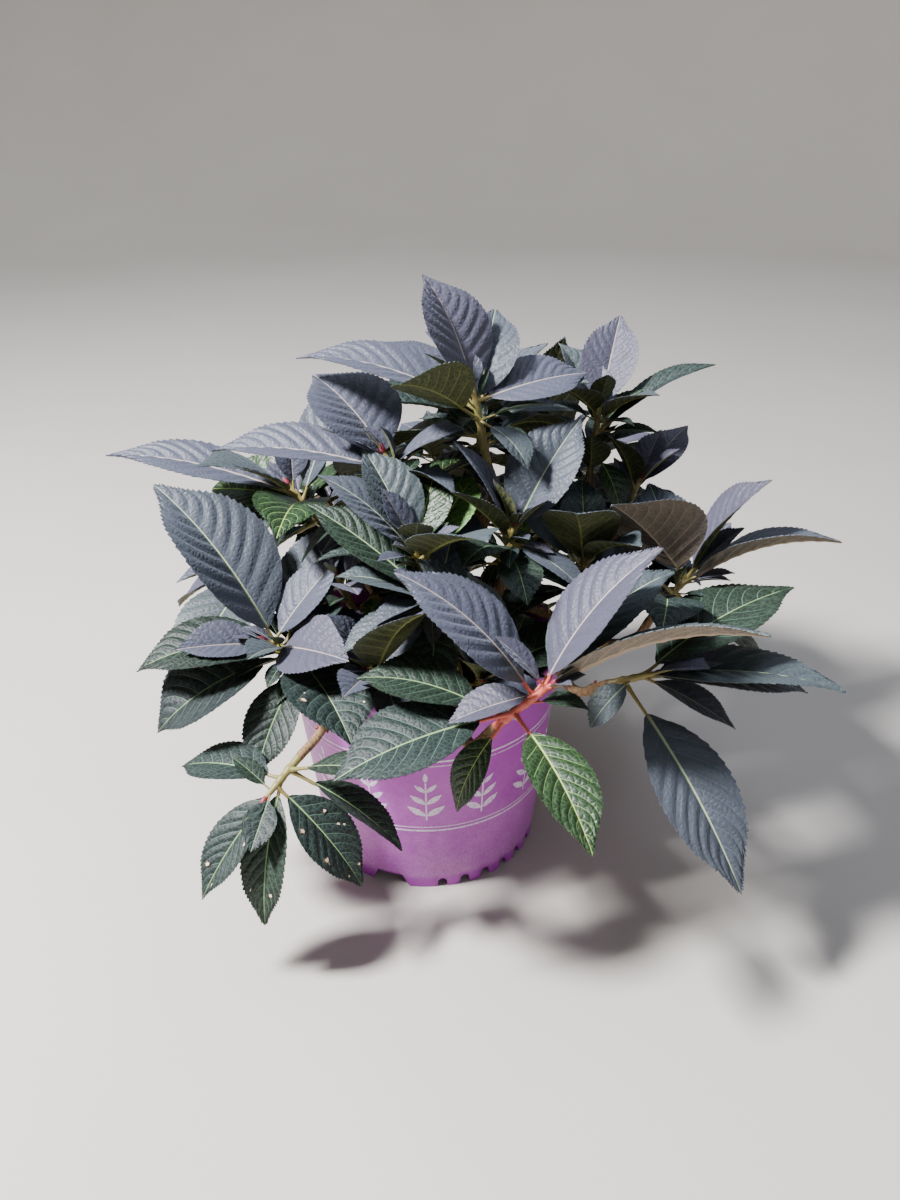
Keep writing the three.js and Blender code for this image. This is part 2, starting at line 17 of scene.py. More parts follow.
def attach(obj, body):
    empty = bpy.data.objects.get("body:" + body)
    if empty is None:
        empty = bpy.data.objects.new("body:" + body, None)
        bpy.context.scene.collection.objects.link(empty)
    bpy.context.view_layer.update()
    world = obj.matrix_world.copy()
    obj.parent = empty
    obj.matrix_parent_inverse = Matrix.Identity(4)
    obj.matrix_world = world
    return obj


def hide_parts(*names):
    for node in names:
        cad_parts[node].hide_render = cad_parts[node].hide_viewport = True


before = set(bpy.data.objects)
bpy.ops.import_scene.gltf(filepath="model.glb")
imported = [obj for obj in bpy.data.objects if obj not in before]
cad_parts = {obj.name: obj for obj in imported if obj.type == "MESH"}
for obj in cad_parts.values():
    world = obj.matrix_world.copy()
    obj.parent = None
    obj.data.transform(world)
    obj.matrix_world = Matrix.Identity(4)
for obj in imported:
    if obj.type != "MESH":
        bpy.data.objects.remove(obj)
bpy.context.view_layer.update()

METRES = 0.001
UP = np.array([0.0, 0.0, 1.0])
BODY = "root"
COLOUR_MIX = {"data_type": "RGBA"}

Array = np.ndarray
Tree = bpy.types.NodeTree
Socket = bpy.types.NodeSocket
Value = Union[float, tuple[float, ...], Socket]
Span = tuple[float, float]
Place = tuple[float, float, float]
Draws = np.random.Generator

logging.basicConfig(level=logging.INFO, format="%(message)s")
log = logging.getLogger("shrub")


def linear(code: str) -> tuple[float, float, float, float]:
    """Turns an sRGB hex colour into linear light.

    Args:
        code: The colour as "#rrggbb".

    Returns:
        Linear red, green and blue with full alpha.
    """
    parts = [int(code[i:i + 2], 16) / 255 for i in (1, 3, 5)]
    lit = [p / 12.92 if p <= 0.04045 else ((p + 0.055) / 1.055) ** 2.4 for p in parts]
    return (lit[0], lit[1], lit[2], 1.0)


def unit(direction: Array) -> Array:
    """Returns the direction with length 1."""
    return direction / np.linalg.norm(direction)


def heading(azimuth: float, elevation: float) -> Array:
    """Returns the unit direction of an azimuth and an elevation in degrees."""
    a, e = math.radians(azimuth), math.radians(elevation)
    return np.array([math.cos(a) * math.cos(e), math.sin(a) * math.cos(e), math.sin(e)])


def smooth(value: Array, low: float, high: float) -> Array:
    """Returns a soft step from 0 at low to 1 at high."""
    t = np.clip((value - low) / (high - low), 0, 1)
    return t * t * (3 - 2 * t)


def bearing(direction: Array) -> Span:
    """Returns the azimuth and the elevation of a unit direction, in degrees."""
    return math.degrees(math.atan2(direction[1], direction[0])), math.degrees(math.asin(direction[2]))


def walked(places: Array) -> Array:
    """Returns how far along a course each of its places is."""
    return np.concatenate([[0], np.cumsum(np.linalg.norm(np.diff(places, axis=0), axis=1))])


def full_turn(count: int) -> Array:
    """Returns count angles spread evenly round a turn."""
    return 2 * np.pi * np.arange(count) / count


def spokes_at(turn: Array) -> Array:
    """Returns the level unit direction at each angle."""
    return np.stack([np.cos(turn), np.sin(turn), np.zeros(len(turn))], -1)


def lathed(outline: Sequence[Sequence[float]], count: int) -> Array:
    """Returns the rings of an outline of radius and height that is turned about the vertical axis."""
    spokes = spokes_at(full_turn(count))
    return np.array([spokes * r + UP * z for r, z in outline])


def sheet_quads(rows: int, columns: int) -> Array:
    """Returns the quads of a sheet of points, as rows by columns by 4."""
    ids = np.arange(rows * columns).reshape(rows, columns)
    return np.stack([ids[:-1, :-1], ids[:-1, 1:], ids[1:, 1:], ids[1:, :-1]], -1)


def ring_quads(rings: int, sides: int, closed: bool = False) -> Array:
    """Lists the quads between rings of points.

    Args:
        rings: How many rings there are.
        sides: How many points each has.
        closed: Whether the last ring is joined to the first as well.

    Returns:
        The quads, one row each.
    """
    ids = np.arange(rings * sides).reshape(rings, sides)
    lower = ids if closed else ids[:-1]
    upper = np.roll(ids, -1, axis=0) if closed else ids[1:]
    return np.stack([lower, np.roll(lower, -1, 1), np.roll(upper, -1, 1), upper], -1).reshape(-1, 4)


def new_object(name: str, data: bpy.types.ID) -> bpy.types.Object:
    """Makes an object that stands in the scene.

    Args:
        name: Its name.
        data: Its mesh, camera or light.

    Returns:
        The new object.
    """
    made = bpy.data.objects.new(name, data)
    bpy.context.scene.collection.objects.link(made)
    return made


def add_node(tree: Tree, kind: str, settings: dict[str, object],
             inputs: dict[Union[str, int], Value]) -> bpy.types.Node:
    """Adds one shader node with its settings and links.

    Args:
        tree: The material's node tree.
        kind: The node's type name.
        settings: Properties of the node.
        inputs: For each input, a constant or the socket that feeds it.

    Returns:
        The new node.
    """
    made = tree.nodes.new(kind)
    for name, value in settings.items():
        setattr(made, name, value)
    for name, value in inputs.items():
        if isinstance(value, bpy.types.NodeSocket):
            tree.links.new(value, made.inputs[name])
        else:
            made.inputs[name].default_value = value
    return made


def per_metre(size: float) -> float:
    """Returns the texture scale of a pattern whose features are size mm across."""
    return 1 / (size * METRES)


@dataclass(frozen=True)
class Finish:
    """A surface finish that becomes one material."""

    name: str

    def inputs(self, tree: Tree, place: Socket) -> dict[str, Value]:
        """Returns the shader's inputs, worked out from object coordinates in metres."""
        raise NotImplementedError(self.name)

    def material(self) -> bpy.types.Material:
        """Builds the material.

        Returns:
            The material: one principled shader with the finish's inputs.
        """
        material = bpy.data.materials.new(self.name)
        material.use_nodes = True
        tree = material.node_tree
        tree.nodes.clear()
        place = add_node(tree, "ShaderNodeTexCoord", {}, {}).outputs["Object"]
        shader = add_node(tree, "ShaderNodeBsdfPrincipled", {}, self.inputs(tree, place))
        add_node(tree, "ShaderNodeOutputMaterial", {}, {"Surface": shader.outputs["BSDF"]})
        return material


@dataclass(frozen=True)
class LeafBlade(Finish):
    """Living hydrangea blade, waxy above: satin, with a fine net of veins that breaks up the shine."""

    colour: str
    shade: str
    net_colour: str
    roughness: float = 0.54
    shine: float = 0.42
    bloom: float = 0.14
    bloom_colour: str = "#bfc6d8"
    net: float = 4.0
    mottle: float = 17.0

    def inputs(self, tree: Tree, place: Socket) -> dict[str, Value]:
        """Works out the shader's inputs.

        Args:
            tree: The material's node tree.
            place: Object coordinates in metres.

        Returns:
            Two shades in soft patches, crossed by a net of small veins.
        """
        patches = add_node(tree, "ShaderNodeTexNoise", {},
                           {"Vector": place, "Scale": per_metre(self.mottle), "Detail": 3.0})
        blade = add_node(tree, "ShaderNodeMix", COLOUR_MIX,
                         {0: patches.outputs["Fac"], 6: linear(self.colour), 7: linear(self.shade)})
        # The real net is 1 to 3 mm across. It is drawn coarser, so that it shows.
        cells = add_node(tree, "ShaderNodeTexVoronoi", {"feature": "DISTANCE_TO_EDGE"},
                         {"Vector": place, "Scale": per_metre(self.net)})
        edges = cells.outputs["Distance"]
        veined = add_node(tree, "ShaderNodeMapRange", {},
                          {"Value": edges, "From Max": 0.1, "To Min": 0.62, "To Max": 0.0})
        colour = add_node(tree, "ShaderNodeMix", COLOUR_MIX,
                          {0: veined.outputs["Result"], 6: blade.outputs[2], 7: linear(self.net_colour)})
        pillow = add_node(tree, "ShaderNodeMapRange", {"interpolation_type": "SMOOTHSTEP"},
                          {"Value": edges, "From Max": 0.32})
        relief = add_node(tree, "ShaderNodeBump", {},
                          {"Height": pillow.outputs["Result"], "Strength": 0.5, "Distance": 0.4 * METRES})
        return {
            "Base Color": colour.outputs[2], "Roughness": self.roughness, "Specular IOR Level": self.shine,
            "Sheen Weight": self.bloom, "Sheen Roughness": 0.45, "Sheen Tint": linear(self.bloom_colour),
            "Normal": relief.outputs["Normal"],
        }


@dataclass(frozen=True)
class Mottled(Finish):
    """A finish of two colours in one grain, in relief where it has a depth in millimetres.

    The shade takes over within a span of the grain, or evenly where there is none.
    """

    colour: str
    shade: str
    grain: float
    detail: float = 2.0
    span: Optional[Span] = None
    roughness: float = 0.5
    refraction: float = 1.5
    strength: float = 0.0
    depth: float = 0.0

    def inputs(self, tree: Tree, place: Socket) -> dict[str, Value]:
        """Works out the shader's inputs.

        Args:
            tree: The material's node tree.
            place: Object coordinates in metres.

        Returns:
            The two colours, and the relief of the same grain.
        """
        grains = add_node(tree, "ShaderNodeTexNoise", {},
                          {"Vector": place, "Scale": per_metre(self.grain), "Detail": self.detail})
        share = grains.outputs["Fac"]
        if self.span:
            low, high = self.span
            share = add_node(tree, "ShaderNodeMapRange", {},
                             {"Value": share, "From Min": low, "From Max": high}).outputs["Result"]
        colour = add_node(tree, "ShaderNodeMix", COLOUR_MIX,
                          {0: share, 6: linear(self.colour), 7: linear(self.shade)})
        inputs = {"Base Color": colour.outputs[2], "Roughness": self.roughness, "IOR": self.refraction}
        if self.depth > 0:
            relief = add_node(tree, "ShaderNodeBump", {},
                              {"Height": grains.outputs["Fac"], "Strength": self.strength,
                               "Distance": self.depth * METRES})
            inputs["Normal"] = relief.outputs["Normal"]
        return inputs


@dataclass(frozen=True)
class LeafVein(Mottled):
    """Living vein tissue: smoother and paler than the blade, so it draws a clear line."""

    grain: float = 4.0
    refraction: float = 1.42


@dataclass(frozen=True)
class GreenRind(Finish):
    """Rind of young stems and leaf stalks: smooth and a little glossy, with fine flecks."""

    colour: str
    blush: str
    fleck: str
    blush_size: float = 14.0
    fleck_size: float = 0.8

    def inputs(self, tree: Tree, place: Socket) -> dict[str, Value]:
        """Works out the shader's inputs.

        Args:
            tree: The material's node tree.
            place: Object coordinates in metres.

        Returns:
            A blush in patches and small pale flecks.
        """
        patches = add_node(tree, "ShaderNodeTexNoise", {},
                           {"Vector": place, "Scale": per_metre(self.blush_size), "Detail": 2.0})
        flush = add_node(tree, "ShaderNodeMix", COLOUR_MIX,
                         {0: patches.outputs["Fac"], 6: linear(self.colour), 7: linear(self.blush)})
        grains = add_node(tree, "ShaderNodeTexNoise", {},
                          {"Vector": place, "Scale": per_metre(self.fleck_size), "Detail": 2.0})
        sparse = add_node(tree, "ShaderNodeMapRange", {},
                          {"Value": grains.outputs["Fac"], "From Min": 0.6, "From Max": 0.72})
        colour = add_node(tree, "ShaderNodeMix", COLOUR_MIX,
                          {0: sparse.outputs["Result"], 6: flush.outputs[2], 7: linear(self.fleck)})
        relief = add_node(tree, "ShaderNodeBump", {},
                          {"Height": grains.outputs["Fac"], "Strength": 0.3, "Distance": 0.3 * METRES})
        return {"Base Color": colour.outputs[2], "Roughness": 0.42, "IOR": 1.45,
                "Normal": relief.outputs["Normal"]}


@dataclass(frozen=True)
class CaneBark(Finish):
    """Thin papery hydrangea bark, peeling in flakes: matt tan with darker cracks."""

    name: str = "cane_bark"
    colour: str = "#9a7b57"
    shade: str = "#6d5238"
    crack: str = "#3a2a1d"
    flake: float = 3.5
    lengthwise: float = 0.35

    def inputs(self, tree: Tree, place: Socket) -> dict[str, Value]:
        """Works out the shader's inputs.

        Args:
            tree: The material's node tree.
            place: Object coordinates in metres.

        Returns:
            Flakes of two tans, drawn out upwards, with dark cracks between them.
        """
        stretch = add_node(tree, "ShaderNodeMapping", {},
                           {"Vector": place, "Scale": (1.0, 1.0, self.lengthwise)}).outputs[0]
        tans = add_node(tree, "ShaderNodeTexNoise", {},
                        {"Vector": stretch, "Scale": per_metre(self.flake * 2), "Detail": 6.0})
        bark = add_node(tree, "ShaderNodeMix", COLOUR_MIX,
                        {0: tans.outputs["Fac"], 6: linear(self.colour), 7: linear(self.shade)})
        flakes = add_node(tree, "ShaderNodeTexVoronoi", {"feature": "DISTANCE_TO_EDGE"},
                          {"Vector": stretch, "Scale": per_metre(self.flake)})
        edges = flakes.outputs["Distance"]
        cracked = add_node(tree, "ShaderNodeMapRange", {},
                           {"Value": edges, "From Max": 0.09, "To Min": 0.75, "To Max": 0.0})
        colour = add_node(tree, "ShaderNodeMix", COLOUR_MIX,
                          {0: cracked.outputs["Result"], 6: bark.outputs[2], 7: linear(self.crack)})
        relief = add_node(tree, "ShaderNodeBump", {},
                          {"Height": edges, "Strength": 0.8, "Distance": 0.6 * METRES})
        return {"Base Color": colour.outputs[2], "Roughness": 0.86, "IOR": 1.5,
                "Normal": relief.outputs["Normal"]}


@dataclass(frozen=True)
class MouldedPolypropylene(Finish):
    """Thin polypropylene, injection moulded and left outdoors: satin violet under a film of pale dust."""

    name: str = "moulded_polypropylene"
    colour: str = "#93259f"
    worn: str = "#b345b4"
    dust: str = "#d9b7cf"
    dusty_below: float = 130.0
    clean_below: float = 14.0
    speck: float = 1.6
    smear: float = 24.0

    def inputs(self, tree: Tree, place: Socket) -> dict[str, Value]:
        """Works out the shader's inputs.

        Args:
            tree: The material's node tree.
            place: Object coordinates in metres.

        Returns:
            Worn patches, and dust that thickens towards the foot but leaves its edge clean.
        """
        level = add_node(tree, "ShaderNodeSeparateXYZ", {}, {"Vector": place}).outputs["Z"]
        smears, specks = [
            add_node(tree, "ShaderNodeTexNoise", {},
                     {"Vector": place, "Scale": per_metre(size), "Detail": detail,
                      "Roughness": 0.7}).outputs["Fac"]
            for size, detail in ((self.smear, 6.0), (self.speck, 4.0))]
        plastic = add_node(tree, "ShaderNodeMix", COLOUR_MIX,
                           {0: smears, 6: linear(self.colour), 7: linear(self.worn)})
        low = add_node(tree, "ShaderNodeMapRange", {},
                       {"Value": level, "From Min": 0.0, "From Max": self.dusty_below * METRES,
                        "To Min": 0.54, "To Max": 0.06})
        film = add_node(tree, "ShaderNodeMath", {"operation": "MULTIPLY"},
                        {0: low.outputs["Result"], 1: smears})
        grain = add_node(tree, "ShaderNodeMapRange", {},
                         {"Value": specks, "From Min": 0.4, "From Max": 0.62, "To Min": 0.35})
        clean = self.clean_below * METRES
        foot = add_node(tree, "ShaderNodeMapRange", {"interpolation_type": "SMOOTHSTEP"},
                        {"Value": level, "From Min": clean * 0.5, "From Max": clean, "To Min": 0.15,
                         "To Max": 1.5})
        speckled = add_node(tree, "ShaderNodeMath", {"operation": "MULTIPLY"},
                            {0: film.outputs[0], 1: grain.outputs["Result"]})
        dusting = add_node(tree, "ShaderNodeMath", {"operation": "MULTIPLY", "use_clamp": True},
                           {0: speckled.outputs[0], 1: foot.outputs["Result"]}).outputs[0]
        colour = add_node(tree, "ShaderNodeMix", COLOUR_MIX,
                          {0: dusting, 6: plastic.outputs[2], 7: linear(self.dust)})
        dull = add_node(tree, "ShaderNodeMapRange", {}, {"Value": dusting, "To Min": 0.38, "To Max": 0.85})
        relief = add_node(tree, "ShaderNodeBump", {},
                          {"Height": specks, "Strength": 0.25, "Distance": 0.2 * METRES})
        return {"Base Color": colour.outputs[2], "Roughness": dull.outputs["Result"], "IOR": 1.49,
                "Normal": relief.outputs["Normal"]}


@dataclass(frozen=True)
class ScreenInk(Mottled):
    """White screen-printing ink on plastic: flat and a little rubbed, so violet shows through in specks."""

    name: str = "screen_ink"
    colour: str = "#ddd0e2"
    shade: str = "#b06fb8"
    grain: float = 1.4
    detail: float = 4.0
    span: Optional[Span] = (0.5, 0.7)
    roughness: float = 0.6


@dataclass(frozen=True)
class DampPeat(Mottled):
    """Damp peat and composted bark: nearly black brown, matt, with crumbs of lighter brown."""

    name: str = "damp_peat"
    colour: str = "#2c1f17"
    shade: str = "#5a4333"
    grain: float = 2.2
    detail: float = 8.0
    span: Optional[Span] = (0.45, 0.75)
    roughness: float = 0.95
    refraction: float = 1.4
    strength: float = 1.0
    depth: float = 2.0


@dataclass(frozen=True)
class DryGranule(Mottled):
    """Small dry pieces on the mix, such as pine bark chips and white perlite: matt and dusty."""

    grain: float = 1.2
    detail: float = 5.0
    roughness: float = 0.9
    refraction: float = 1.45
    strength: float = 0.6
    depth: float = 0.5


@dataclass(frozen=True)
class PaintedFloor(Mottled):
    """Pale painted studio floor: matt and even, with two close greys in wide patches."""

    name: str = "painted_floor"
    colour: str = "#c2bdb4"
    shade: str = "#b8b3aa"
    grain: float = 300.0
    detail: float = 4.0
    roughness: float = 0.9


class LeafTone(Enum):
    """The colour that a leaf has taken, from the young violet grey to the old black green."""

    DUSK = "dusk"
    SLATE = "slate"
    DEEP = "deep"
    # Near black green of old leaves; on left 4b and 5b it is partly painted shade.
    INK = "ink"
    GREEN = "green"
    # Bright lime: partly a fresh leaf's own green, partly painted light shining through the blade.
    LIME = "lime"


class Underside(Enum):
    """The colour of a leaf's back."""

    OLIVE = "olive"
    BRONZE = "bronze"


class RindTone(Enum):
    """The colour of a shoot's stem and leaf stalks."""

    TAN = "tan"
    RED = "red"


class Crease(Enum):
    """The angle in degrees above which an edge stays sharp, by how the piece is formed."""

    GROWN = 60
    BLADE = 50
    MOULDED = 35
    BROKEN = 30


BLADES = {
    LeafTone.DUSK: (LeafBlade("blade_dusk", "#4b4a59", "#3f3e4c", "#3f3e49", bloom=0.2),
                    LeafBlade("blade_dusk_blue", "#464957", "#3a3d49", "#3b3e48", bloom=0.2)),
    LeafTone.SLATE: (LeafBlade("blade_slate", "#424850", "#373c45", "#3b4248"),
                     LeafBlade("blade_slate_green", "#3f484b", "#343d40", "#3c4846")),
    LeafTone.DEEP: (LeafBlade("blade_deep", "#202a28", "#19211f", "#394a42", 0.56, shine=0.3, bloom=0.03),
                    LeafBlade("blade_deep_green", "#1f2b22", "#18221b", "#384c3b", shine=0.3, bloom=0.02)),
    LeafTone.INK: (LeafBlade("blade_ink", "#18211c", "#131916", "#334438", shine=0.34, bloom=0.02),
                   LeafBlade("blade_ink_blue", "#192022", "#14191b", "#33413d", shine=0.34, bloom=0.02)),
    LeafTone.GREEN: (LeafBlade("blade_green", "#1c2f19", "#152413", "#3a5630", 0.44, bloom=0.02),
                     LeafBlade("blade_moss", "#22381d", "#1a2b17", "#405c31", 0.44, bloom=0.02)),
    # Lime blades are partly painted light: their brightness stands in for light shining through the leaf.
    LeafTone.LIME: (LeafBlade("blade_lime", "#4c7627", "#3d6120", "#799d48", bloom=0.03),
                    LeafBlade("blade_fresh_and_backlit", "#406a28", "#33561f", "#698e42", bloom=0.03)),
}
VEINS = {
    LeafTone.DUSK: LeafVein("vein_dusk", "#555667", "#474959"),
    LeafTone.SLATE: LeafVein("vein_slate", "#525e67", "#444f58"),
    LeafTone.DEEP: LeafVein("vein_deep", "#55705f", "#435a4d"),
    LeafTone.INK: LeafVein("vein_ink", "#57705c", "#435a4b"),
    LeafTone.GREEN: LeafVein("vein_green", "#7f995c", "#657f4a"),
    LeafTone.LIME: LeafVein("vein_lime", "#a3c25c", "#8cb04e"),
}
MIDRIBS = {
    LeafTone.DUSK: LeafVein("midrib_dusk", "#a99f93", "#a08a7e"),
    LeafTone.SLATE: LeafVein("midrib_slate", "#a3af88", "#8c9a7a"),
    LeafTone.DEEP: LeafVein("midrib_deep", "#8aa66c", "#738d62"),
    LeafTone.INK: LeafVein("midrib_ink", "#7f9a64", "#6a8458"),
    LeafTone.GREEN: LeafVein("midrib_green", "#a8bd62", "#93a957"),
    LeafTone.LIME: LeafVein("midrib_lime", "#bfd070", "#a8c25e"),
}
BACKS = {
    Underside.OLIVE: LeafBlade("back_olive", "#454829", "#383b21", "#646a38", roughness=0.6, bloom=0.1),
    Underside.BRONZE: LeafBlade("back_bronze", "#7c7062", "#685d50", "#8d806c", roughness=0.6, bloom=0.1),
}
BACK_VEINS = {
    Underside.OLIVE: LeafVein("back_vein_olive", "#8b8f4a", "#767b40"),
    Underside.BRONZE: LeafVein("back_vein_bronze", "#b29c84", "#9c8670"),
}
RINDS = {
    RindTone.TAN: GreenRind("rind_tan", "#747a3e", "#876c42", "#a99a6c"),
    RindTone.RED: GreenRind("rind_red", "#b2453c", "#c86450", "#dc9078"),
}
BUD_SCALE = GreenRind("bud_scale", "#6e2633", "#8a3040", "#a95560")
SPOT_RING = LeafVein("spot_ring", "#6b4c38", "#523826")
SPOT_HEART = LeafVein("spot_heart", "#e4d6c2", "#d2bfa4")
OLD_BARK = CaneBark()

# The draws up to which a leaf takes each tone: by its pair, counted from the tip, and in two places.
TONES_BY_PAIR = (
    ((1, LeafTone.DUSK),), ((1, LeafTone.DUSK),), ((0.45, LeafTone.DUSK), (1, LeafTone.SLATE)),
    ((0.8, LeafTone.SLATE), (1, LeafTone.DEEP)), ((0.35, LeafTone.SLATE), (1, LeafTone.DEEP)),
    ((0.5, LeafTone.DEEP), (0.8, LeafTone.INK), (1, LeafTone.GREEN)),
)
# The lime among the hollow tones is partly painted light shining through the leaf.
HOLLOW_TONES = ((0.3, LeafTone.LIME), (0.6, LeafTone.GREEN), (1, LeafTone.DEEP))
DARK_TONES = ((0.7, LeafTone.DEEP), (1, LeafTone.INK))

# Leaves with a tone of their own, each named for its shoot, pair and side.
OWN_TONES = {
    LeafTone.DUSK: ("crown_top 2b", "crown_top 3b", "upper_right 2a", "upper_left 2a", "upper_left 3a",
                    "left_back 2a", "right_low 2b", "right_low 4a", "front 2a", "front 2b", "front 3a"),
    LeafTone.SLATE: ("crown_top 4b", "crown_top 5a", "centre 2a", "centre_right 2a", "right 2b",
                     "right_low 3a", "right_low 4b", "left 2a"),
    # front 4b lies in the shade of the leaves above it; its deep tone is partly painted shade.
    LeafTone.DEEP: ("centre_front 2a", "middle_right 2a", "hollow_left 4a", "left 4a", "front 4b",
                    "front 5a", "right_low 2a"),
    # left 4b and 5b lie in shade; their near black ink tone is partly painted shade.
    LeafTone.INK: ("left 4b", "left 5b"),
    LeafTone.GREEN: ("crown_top 4a", "left_back 3a", "centre 2b", "hollow_left 4b", "front 5b", "front 6a"),
}
OWN_TONE_OF = {leaf: tone for tone, leaves in OWN_TONES.items() for leaf in leaves}


class Shell:
    """Points, faces and finishes gathered for one joined mesh, in millimetres."""

    def __init__(self) -> None:
        """Starts with nothing in it."""
        self.points: list[Array] = []
        self.faces: list[Array] = []
        self.finishes: list[Finish] = []
        self.marks: list[Array] = []
        self.count = 0

    def mark(self, finish: Finish) -> int:
        """Finds the material index of a finish, new or already in use.

        Args:
            finish: The finish.

        Returns:
            Its index.
        """
        if finish not in self.finishes:
            self.finishes.append(finish)
        return self.finishes.index(finish)

    def add(self, points: Array, faces: Sequence[tuple[Array, Union[Finish, Array]]]) -> None:
        """Adds a piece of surface.

        Args:
            points: The piece's points, one row each.
            faces: Groups of faces with the same number of corners, each with one finish or an array
                of material indices from mark().
        """
        for corners, finish in faces:
            corners = np.asarray(corners, int)
            self.faces.append(corners + self.count)
            marks = finish if isinstance(finish, np.ndarray) else np.full(len(corners), self.mark(finish))
            self.marks.append(marks)
        self.points.append(np.asarray(points, float).reshape(-1, 3))
        self.count += len(self.points[-1])

    def grid(self, points: Array, finish: Finish, closed: bool = False) -> None:
        """Adds rings of points joined by quads.

        Args:
            points: An array of rings by places by 3.
            finish: The finish of its faces.
            closed: Whether the last ring is joined to the first, instead of a flat face at each end.
        """
        rings, sides = points.shape[:2]
        groups = [(ring_quads(rings, sides, closed), finish)]
        if not closed:
            end = np.arange(sides)[None]
            groups += [(end[:, ::-1], finish), (end + (rings - 1) * sides, finish)]
        self.add(points, groups)

    def piece(self, name: str, crease: Crease, slot: str, *nodes: str) -> None:
        """Makes the joined mesh, hangs it on the root body and hides the CAD nodes that it stands for.

        Args:
            name: The piece's name.
            crease: Which of its edges stay sharp.
            slot: Not used.
            *nodes: The CAD nodes that the piece stands for.
        """
        mesh = bpy.data.meshes.new(name)
        points = np.concatenate(self.points) * METRES
        mesh.vertices.add(len(points))
        mesh.vertices.foreach_set("co", points.ravel())
        sizes = np.concatenate([np.full(len(f), f.shape[1]) for f in self.faces])
        loops = np.concatenate([f.ravel() for f in self.faces])
        mesh.loops.add(len(loops))
        mesh.loops.foreach_set("vertex_index", loops)
        mesh.polygons.add(len(sizes))
        mesh.polygons.foreach_set("loop_start", np.concatenate([[0], np.cumsum(sizes)[:-1]]))
        mesh.polygons.foreach_set("material_index", np.concatenate(self.marks))
        for finish in self.finishes:
            found = bpy.data.materials.get(finish.name)
            mesh.materials.append(found or finish.material())
        mesh.update(calc_edges=True)
        mesh.validate()
        mesh.shade_smooth()
        mesh.set_sharp_from_angle(angle=math.radians(crease.value))
        made = new_object(name, mesh)
        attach(made, BODY)
        if nodes:
            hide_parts(*nodes)
        log.info("%s: %d faces", name, len(sizes))


def tube_rings(places: Array, radii: Array, sides: int, set_out: Array, arrive: Array) -> Array:
    """Places rings of points round a course.

    Args:
        places: The course, one row for each ring.
        radii: A radius for each ring, or for each ring and side.
        sides: How many points a ring has.
        set_out: The direction that the first ring faces.
        arrive: The direction that the last ring faces.

    Returns:
        An array of rings by sides by 3.
    """
    runs = np.gradient(places, axis=0)
    runs[0], runs[-1] = set_out, arrive
    runs /= np.linalg.norm(runs, axis=1, keepdims=True)
    angles = full_turn(sides)
    radii = np.broadcast_to(np.asarray(radii, float).reshape(len(places), -1), (len(places), sides))
    across = np.array([1.0, 0.0, 0.0])
    if abs(runs[0] @ across) > 0.9:
        across = np.array([0.0, 1.0, 0.0])
    rings = np.empty((len(places), sides, 3))
    for i, run in enumerate(runs):
        across = unit(across - run * (across @ run))
        up = np.cross(run, across)
        spokes = np.outer(np.cos(angles), across) + np.outer(np.sin(angles), up)
        rings[i] = places[i] + spokes * radii[i][:, None]
    return rings


def add_bud(shell: Shell, place: Array, axis: Array, length: float, radius: float, finish: Finish) -> None:
    """Adds a pointed bud of eight sides that stands on a place.

    Args:
        shell: The mesh that takes it.
        place: Where its foot is.
        axis: The way it points.
        length: From foot to point.
        radius: At its widest.
        finish: Its finish.
    """
    shares = np.array([0.0, 0.18, 0.4, 0.65, 0.85, 0.98])
    widths = radius * np.array([0.55, 0.95, 1.0, 0.72, 0.36, 0.06])
    places = place + np.outer(shares * length, axis)
    shell.grid(tube_rings(places, widths, 8, axis, axis), finish)


@dataclass(frozen=True)
class ShootSpec:
    """One leafy shoot: its growing tip, its lean, and the leaves that stand in a way of their own.

    Such a leaf is keyed by its pair, from the tip down, and its side. It has an azimuth, a pitch and a
    reach, and in some a breadth and a twist that aren't the rule's either.
    """

    tip: Place
    lean: Span
    turn: float
    size: float
    pairs: int
    own: dict[str, tuple[float, ...]] = field(default_factory=dict)


